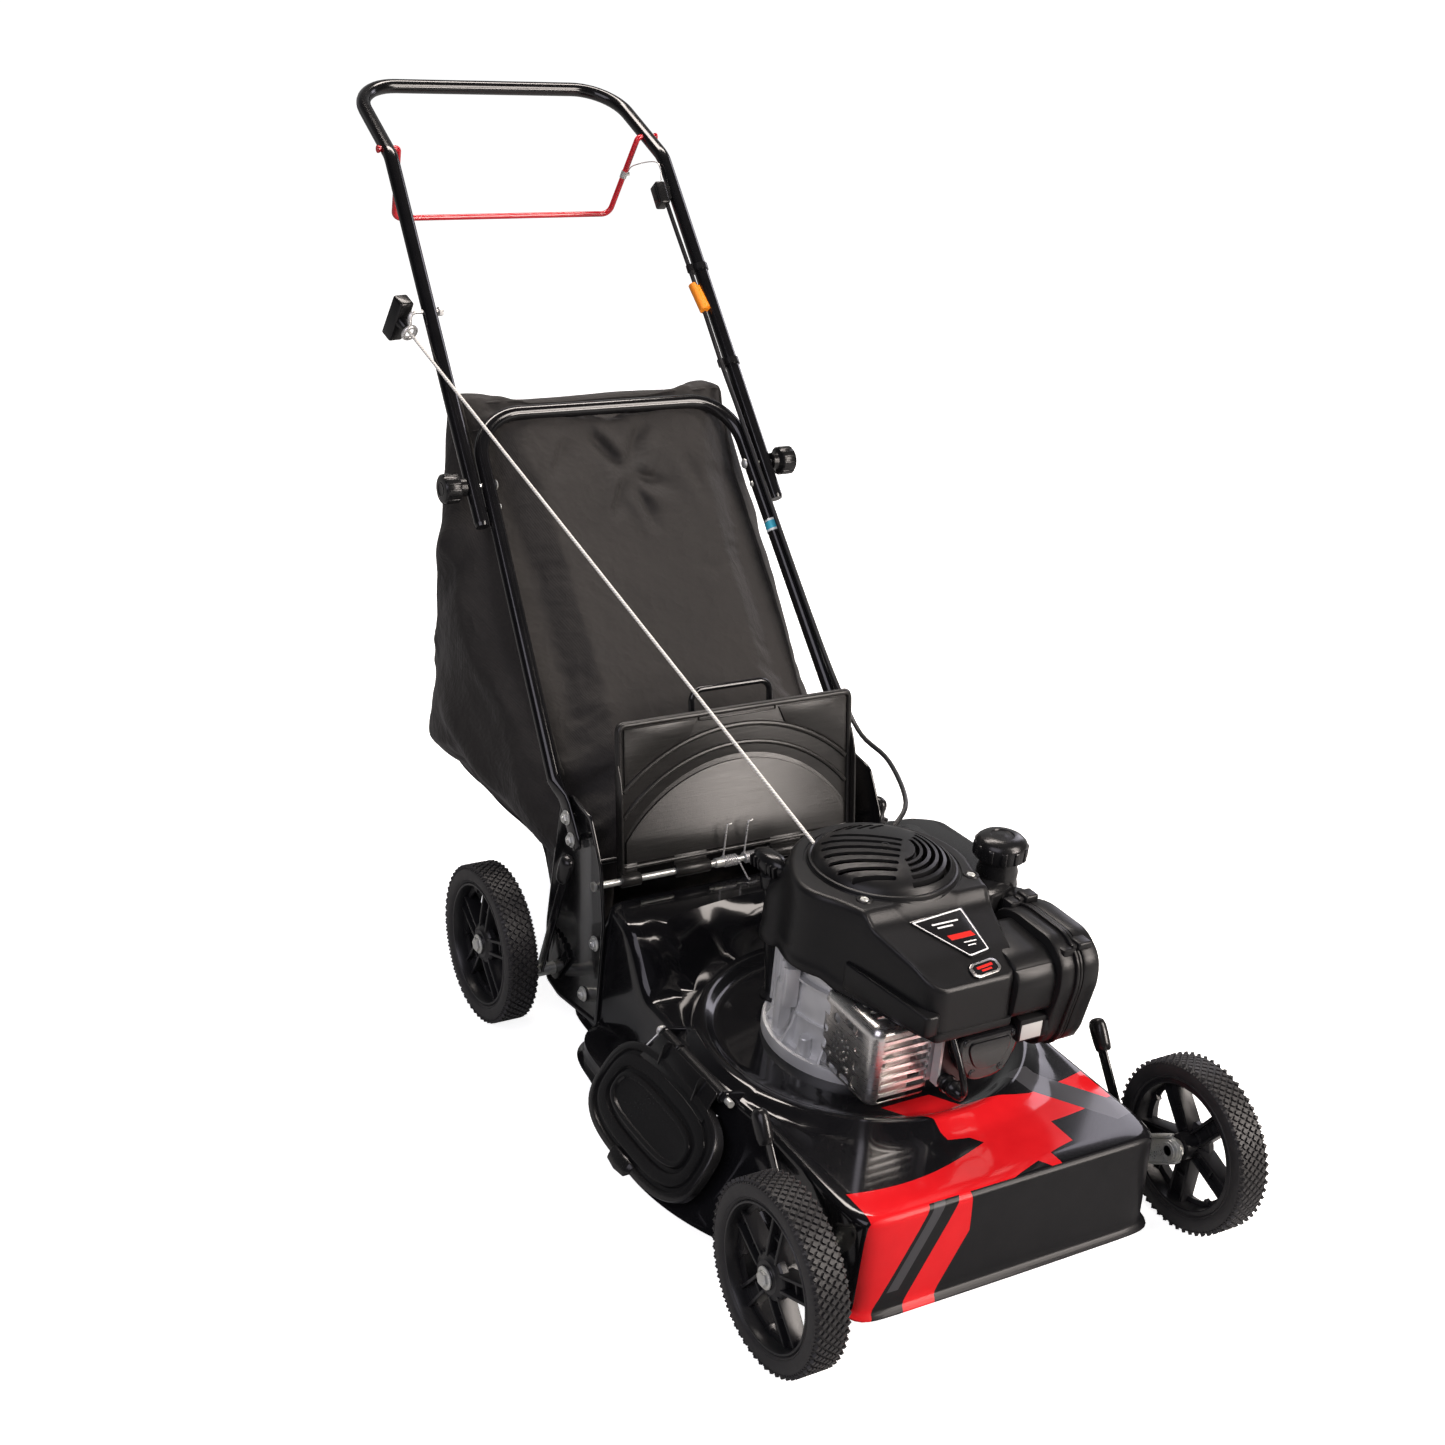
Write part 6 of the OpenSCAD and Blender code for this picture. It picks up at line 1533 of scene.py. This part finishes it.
def makeBag():
    body = platePart(bag["outline"], 2 * bag["half"], 0, 0)
    softEdges(body, 15, 4, 20)
    shape = Shape().take(body, sideways, moved(x=-bag["half"]))
    piece = shape.make("grassBag", None, cloth, smooth=180)
    net = piece.modifiers.new("net", "REMESH")
    net.mode, net.voxel_size, net.use_smooth_shade = "VOXEL", bag["voxel"], True
    applyAll(piece)
    rest = [v.co.copy() for v in piece.data.vertices]
    soft = piece.modifiers.new("soft", "CLOTH")
    soft.settings.use_pressure, soft.settings.uniform_pressure_force = True, bag["swell"]
    soft.settings.effector_weights.gravity = 0
    soft.settings.quality = 5
    soft.settings.tension_stiffness = soft.settings.compression_stiffness = 12
    soft.settings.bending_stiffness = 0.4
    for step in range(bag["frames"]):
        scene.frame_set(step + 1)
    applyAll(piece)
    scene.frame_set(1)
    shaped = bmesh.new()
    shaped.from_mesh(piece.data)
    shaped.verts.ensure_lookup_table()
    for v, start in zip(shaped.verts, rest):
        shift = v.co - start
        if shift.length > bag["most"]:
            v.co = start + shift.normalized() * bag["most"]
    for v in shaped.verts:
        v.co = at(bagFall(back(v.co)))
    bmesh.ops.smooth_vert(shaped, verts=shaped.verts, factor=0.4, use_axis_x=True, use_axis_y=True, use_axis_z=True)
    shaped.to_mesh(piece.data)
    shaped.free()
    cutMouth(piece)
    for f in piece.data.polygons:
        f.use_smooth = True
    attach(piece, "bag_body")
    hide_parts("grass_bag")
    return piece


def applyAll(piece):
    mesh = bpy.data.meshes.new_from_object(piece.evaluated_get(bpy.context.evaluated_depsgraph_get()))
    old = piece.data
    piece.modifiers.clear()
    piece.data = mesh
    bpy.data.meshes.remove(old)


folds = [  # creases on the front panel: start (x, z), end, width, depth
    ((8, 610), (-40, 665), 9, 5.4), ((8, 610), (60, 668), 10, 5.6), ((8, 610), (-34, 560), 9, 5),
    ((8, 610), (74, 590), 9, 4.8), ((8, 610), (30, 540), 8, 4.4), ((-60, 655), (-110, 600), 10, 3.0),
    ((90, 640), (120, 560), 10, 2.6), ((60, 520), (104, 500), 9, 1.6)]
sideFolds = [  # the same on both sides, in (y, z)
    ((420, 640), (560, 560), 18, 7), ((560, 600), (660, 470), 22, 8), ((380, 330), (520, 420), 20, 7),
    ((420, 250), (620, 330), 24, 8), ((640, 420), (700, 260), 18, 6), ((360, 420), (420, 540), 14, 5)]


def crease(u, v, lines):
    total = 0
    for (a, b), (c, d), wide, deep in lines:
        du, dv = c - a, d - b
        length = hypot(du, dv)
        t = ((u - a) * du + (v - b) * dv) / length ** 2
        off = ((u - a) * dv - (v - b) * du) / length
        along = ease(min(1, max(0, t)) * 3) * ease((1 - min(1, max(0, t))) * 2.2)
        if -0.1 < t < 1.1:
            ridge = math.exp(-(off / wide) ** 2) - 0.55 * math.exp(-((off - 1.5 * wide) / wide) ** 2)
            total += 2.6 * deep * along * ridge
    return total


def bagFall(p):
    x, y, z = p
    side = min(1, abs(x) / bag["half"])
    wall = ease((side - 0.8) / 0.2)
    # sides belly out low down and draw in near the top and at the mouth
    belly = math.exp(-((z - 330) / 170) ** 2) * math.exp(-((y - 560) / 150) ** 2)
    waves = 2.6 * sin(y / 37 + 0.6) * sin(z / 83 + 1.2) + 2 * noise.noise(Vector((y / 60, z / 60, x / 300)))
    loose = ease((y - bagFront(z)) / 110) if z > 250 else ease((y - 300) / 90)
    calm = 0.25 if x > 0 else 1
    slack = loose * calm * (waves + 0.7 * crease(y, z, sideFolds))
    x += (1 if x > 0 else -1) * wall * (22 * belly + 3 + 8 * ease((z - 360) / 120) + slack)
    # front panel sags between the tubes, back panel too
    ahead = p.y - bagFront(p.z)
    if p.z > 250 and ahead < 30:
        inner = (1 - (p.x / bag["half"]) ** 2) * ease((p.z - 250) / 120) * ease((700 - p.z) / 60)
        y += 9 * max(0, inner) + crease(p.x, p.z, folds) + 2.2 * noise.noise(Vector((p.x / 70, p.z / 70, 2.3)))
    if p.y > 690:
        inner = (1 - (p.x / bag["half"]) ** 2)
        ripple = noise.noise(Vector((p.x / 80, p.z / 80, 7.1)))
        y += -8 * inner * ease((690 - p.z) / 200) * ease((p.z - 200) / 100) + 4 * ripple
    if p.z > 660:  # the top stands up behind the tube
        z += (6 + 2 * sin(p.x / 46) + 17 * (1 - side ** 4)) * ease((p.z - 660) / 25) * ease((p.y - 660) / 16)
    if p.z < 230 and p.y > 380:
        ripple = noise.noise(Vector((p.x / 70, p.y / 70, 4.4)))
        z += -2 * (1 - side ** 2) + 3 * ripple + 14 * ease((p.y - 640) / 80) * ease((230 - p.z) / 40)
    return Vector((x, y, z))


def cutMouth(piece):
    rounding = piece.modifiers.new("rounding", "SUBSURF")
    rounding.levels = rounding.render_levels = 1
    applyAll(piece)
    (x0, x1), (_, y1), (z0, z1) = bag["mouth"]
    opened = bmesh.new()
    opened.from_mesh(piece.data)
    gone = []
    for f in opened.faces:
        c = back(f.calc_center_median())
        if x0 < c.x < x1 and c.y < y1 and z0 < c.z < z1:
            gone.append(f)
    bmesh.ops.delete(opened, geom=gone, context="FACES")
    opened.to_mesh(piece.data)
    opened.free()
    wall = piece.modifiers.new("wall", "SOLIDIFY")
    wall.thickness, wall.offset = bag["cloth"], -1


bagPiece = makeBag()


def seam(points, name, r=1.5, lift=0.4, finish=None):
    # a stitched edge laid on the cloth
    tree = BVHTree.FromObject(bagPiece, bpy.context.evaluated_depsgraph_get())
    laid = []
    for p in points:
        spot, normal, _, _ = tree.find_nearest(at(p))
        laid.append(back(spot + normal * lift / 1000))
    Shape(wirePart(laid, r, sides=3)).make(name, "bag_body", finish or cloth, slot="bag_cloth", smooth=60)


def between(points, step=9):
    path = []
    for a, b in zip(points, points[1:]):
        a, b = Vector(a), Vector(b)
        count = max(2, int((b - a).length / step))
        path += [a + (b - a) * i / count for i in range(count)]
    return path + [Vector(points[-1])]


def makeSeams():
    for k, s in enumerate((-1, 1)):
        rim = [(s * 196, y, z) for y, z in ((274, 232), (336, 330), (674, 694), (712, 694), (720, 680), (720, 184))]
        seam(between(rim), f"bagSeam_{k}", 1.9)
        low = [(s * 196, y, z) for y, z in ((274, 92), (308, 92), (392, 180), (720, 182))]
        seam(between(low), f"bagHem_{k}", 1.9)
    seam(between([(-188, 672, 690), (188, 672, 690)]), "bagSeam_top", 1.7)
    seam(between([(-186, bagFront(664), 664), (186, bagFront(664), 664)]), "bagHem_top", 0.9)


makeSeams()
hook = Shape(wirePart([(-190, 265.35, 231.5), (190, 265.35, 231.5)], 4, sides=5))
hook.take(wirePart(bentPath([(-36, 265.35, 231.5), (-36, 306, 424), (76, 306, 424), (76, 265.35, 231.5)], (14, 14), 8),
                   4, sides=5))
hook.make("bagFrame", "bag_body", tubePaint, "bag_frame", "frame_paint", smooth=60)
print("bag made")

# pieces that keep their own shape get a finish
kept = {"engine_cylinder": cast, "muffler": zinc, "spark_plug": ceramic, "carburettor": cast,
        "air_filter_element": foam, "recoil_pulley": smoothPlastic,
        "crankshaft": zinc, "flywheel": cast, "blade_adapter": zinc, "blade": bladeSteel, "blade_bolt": zinc,
        "rope_guide": brightWire}
for node, finish in kept.items():
    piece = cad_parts[node]
    if not piece.material_slots:
        piece.data.materials.append(finish.material)
    for spot in piece.material_slots:
        spot.material = finish.material
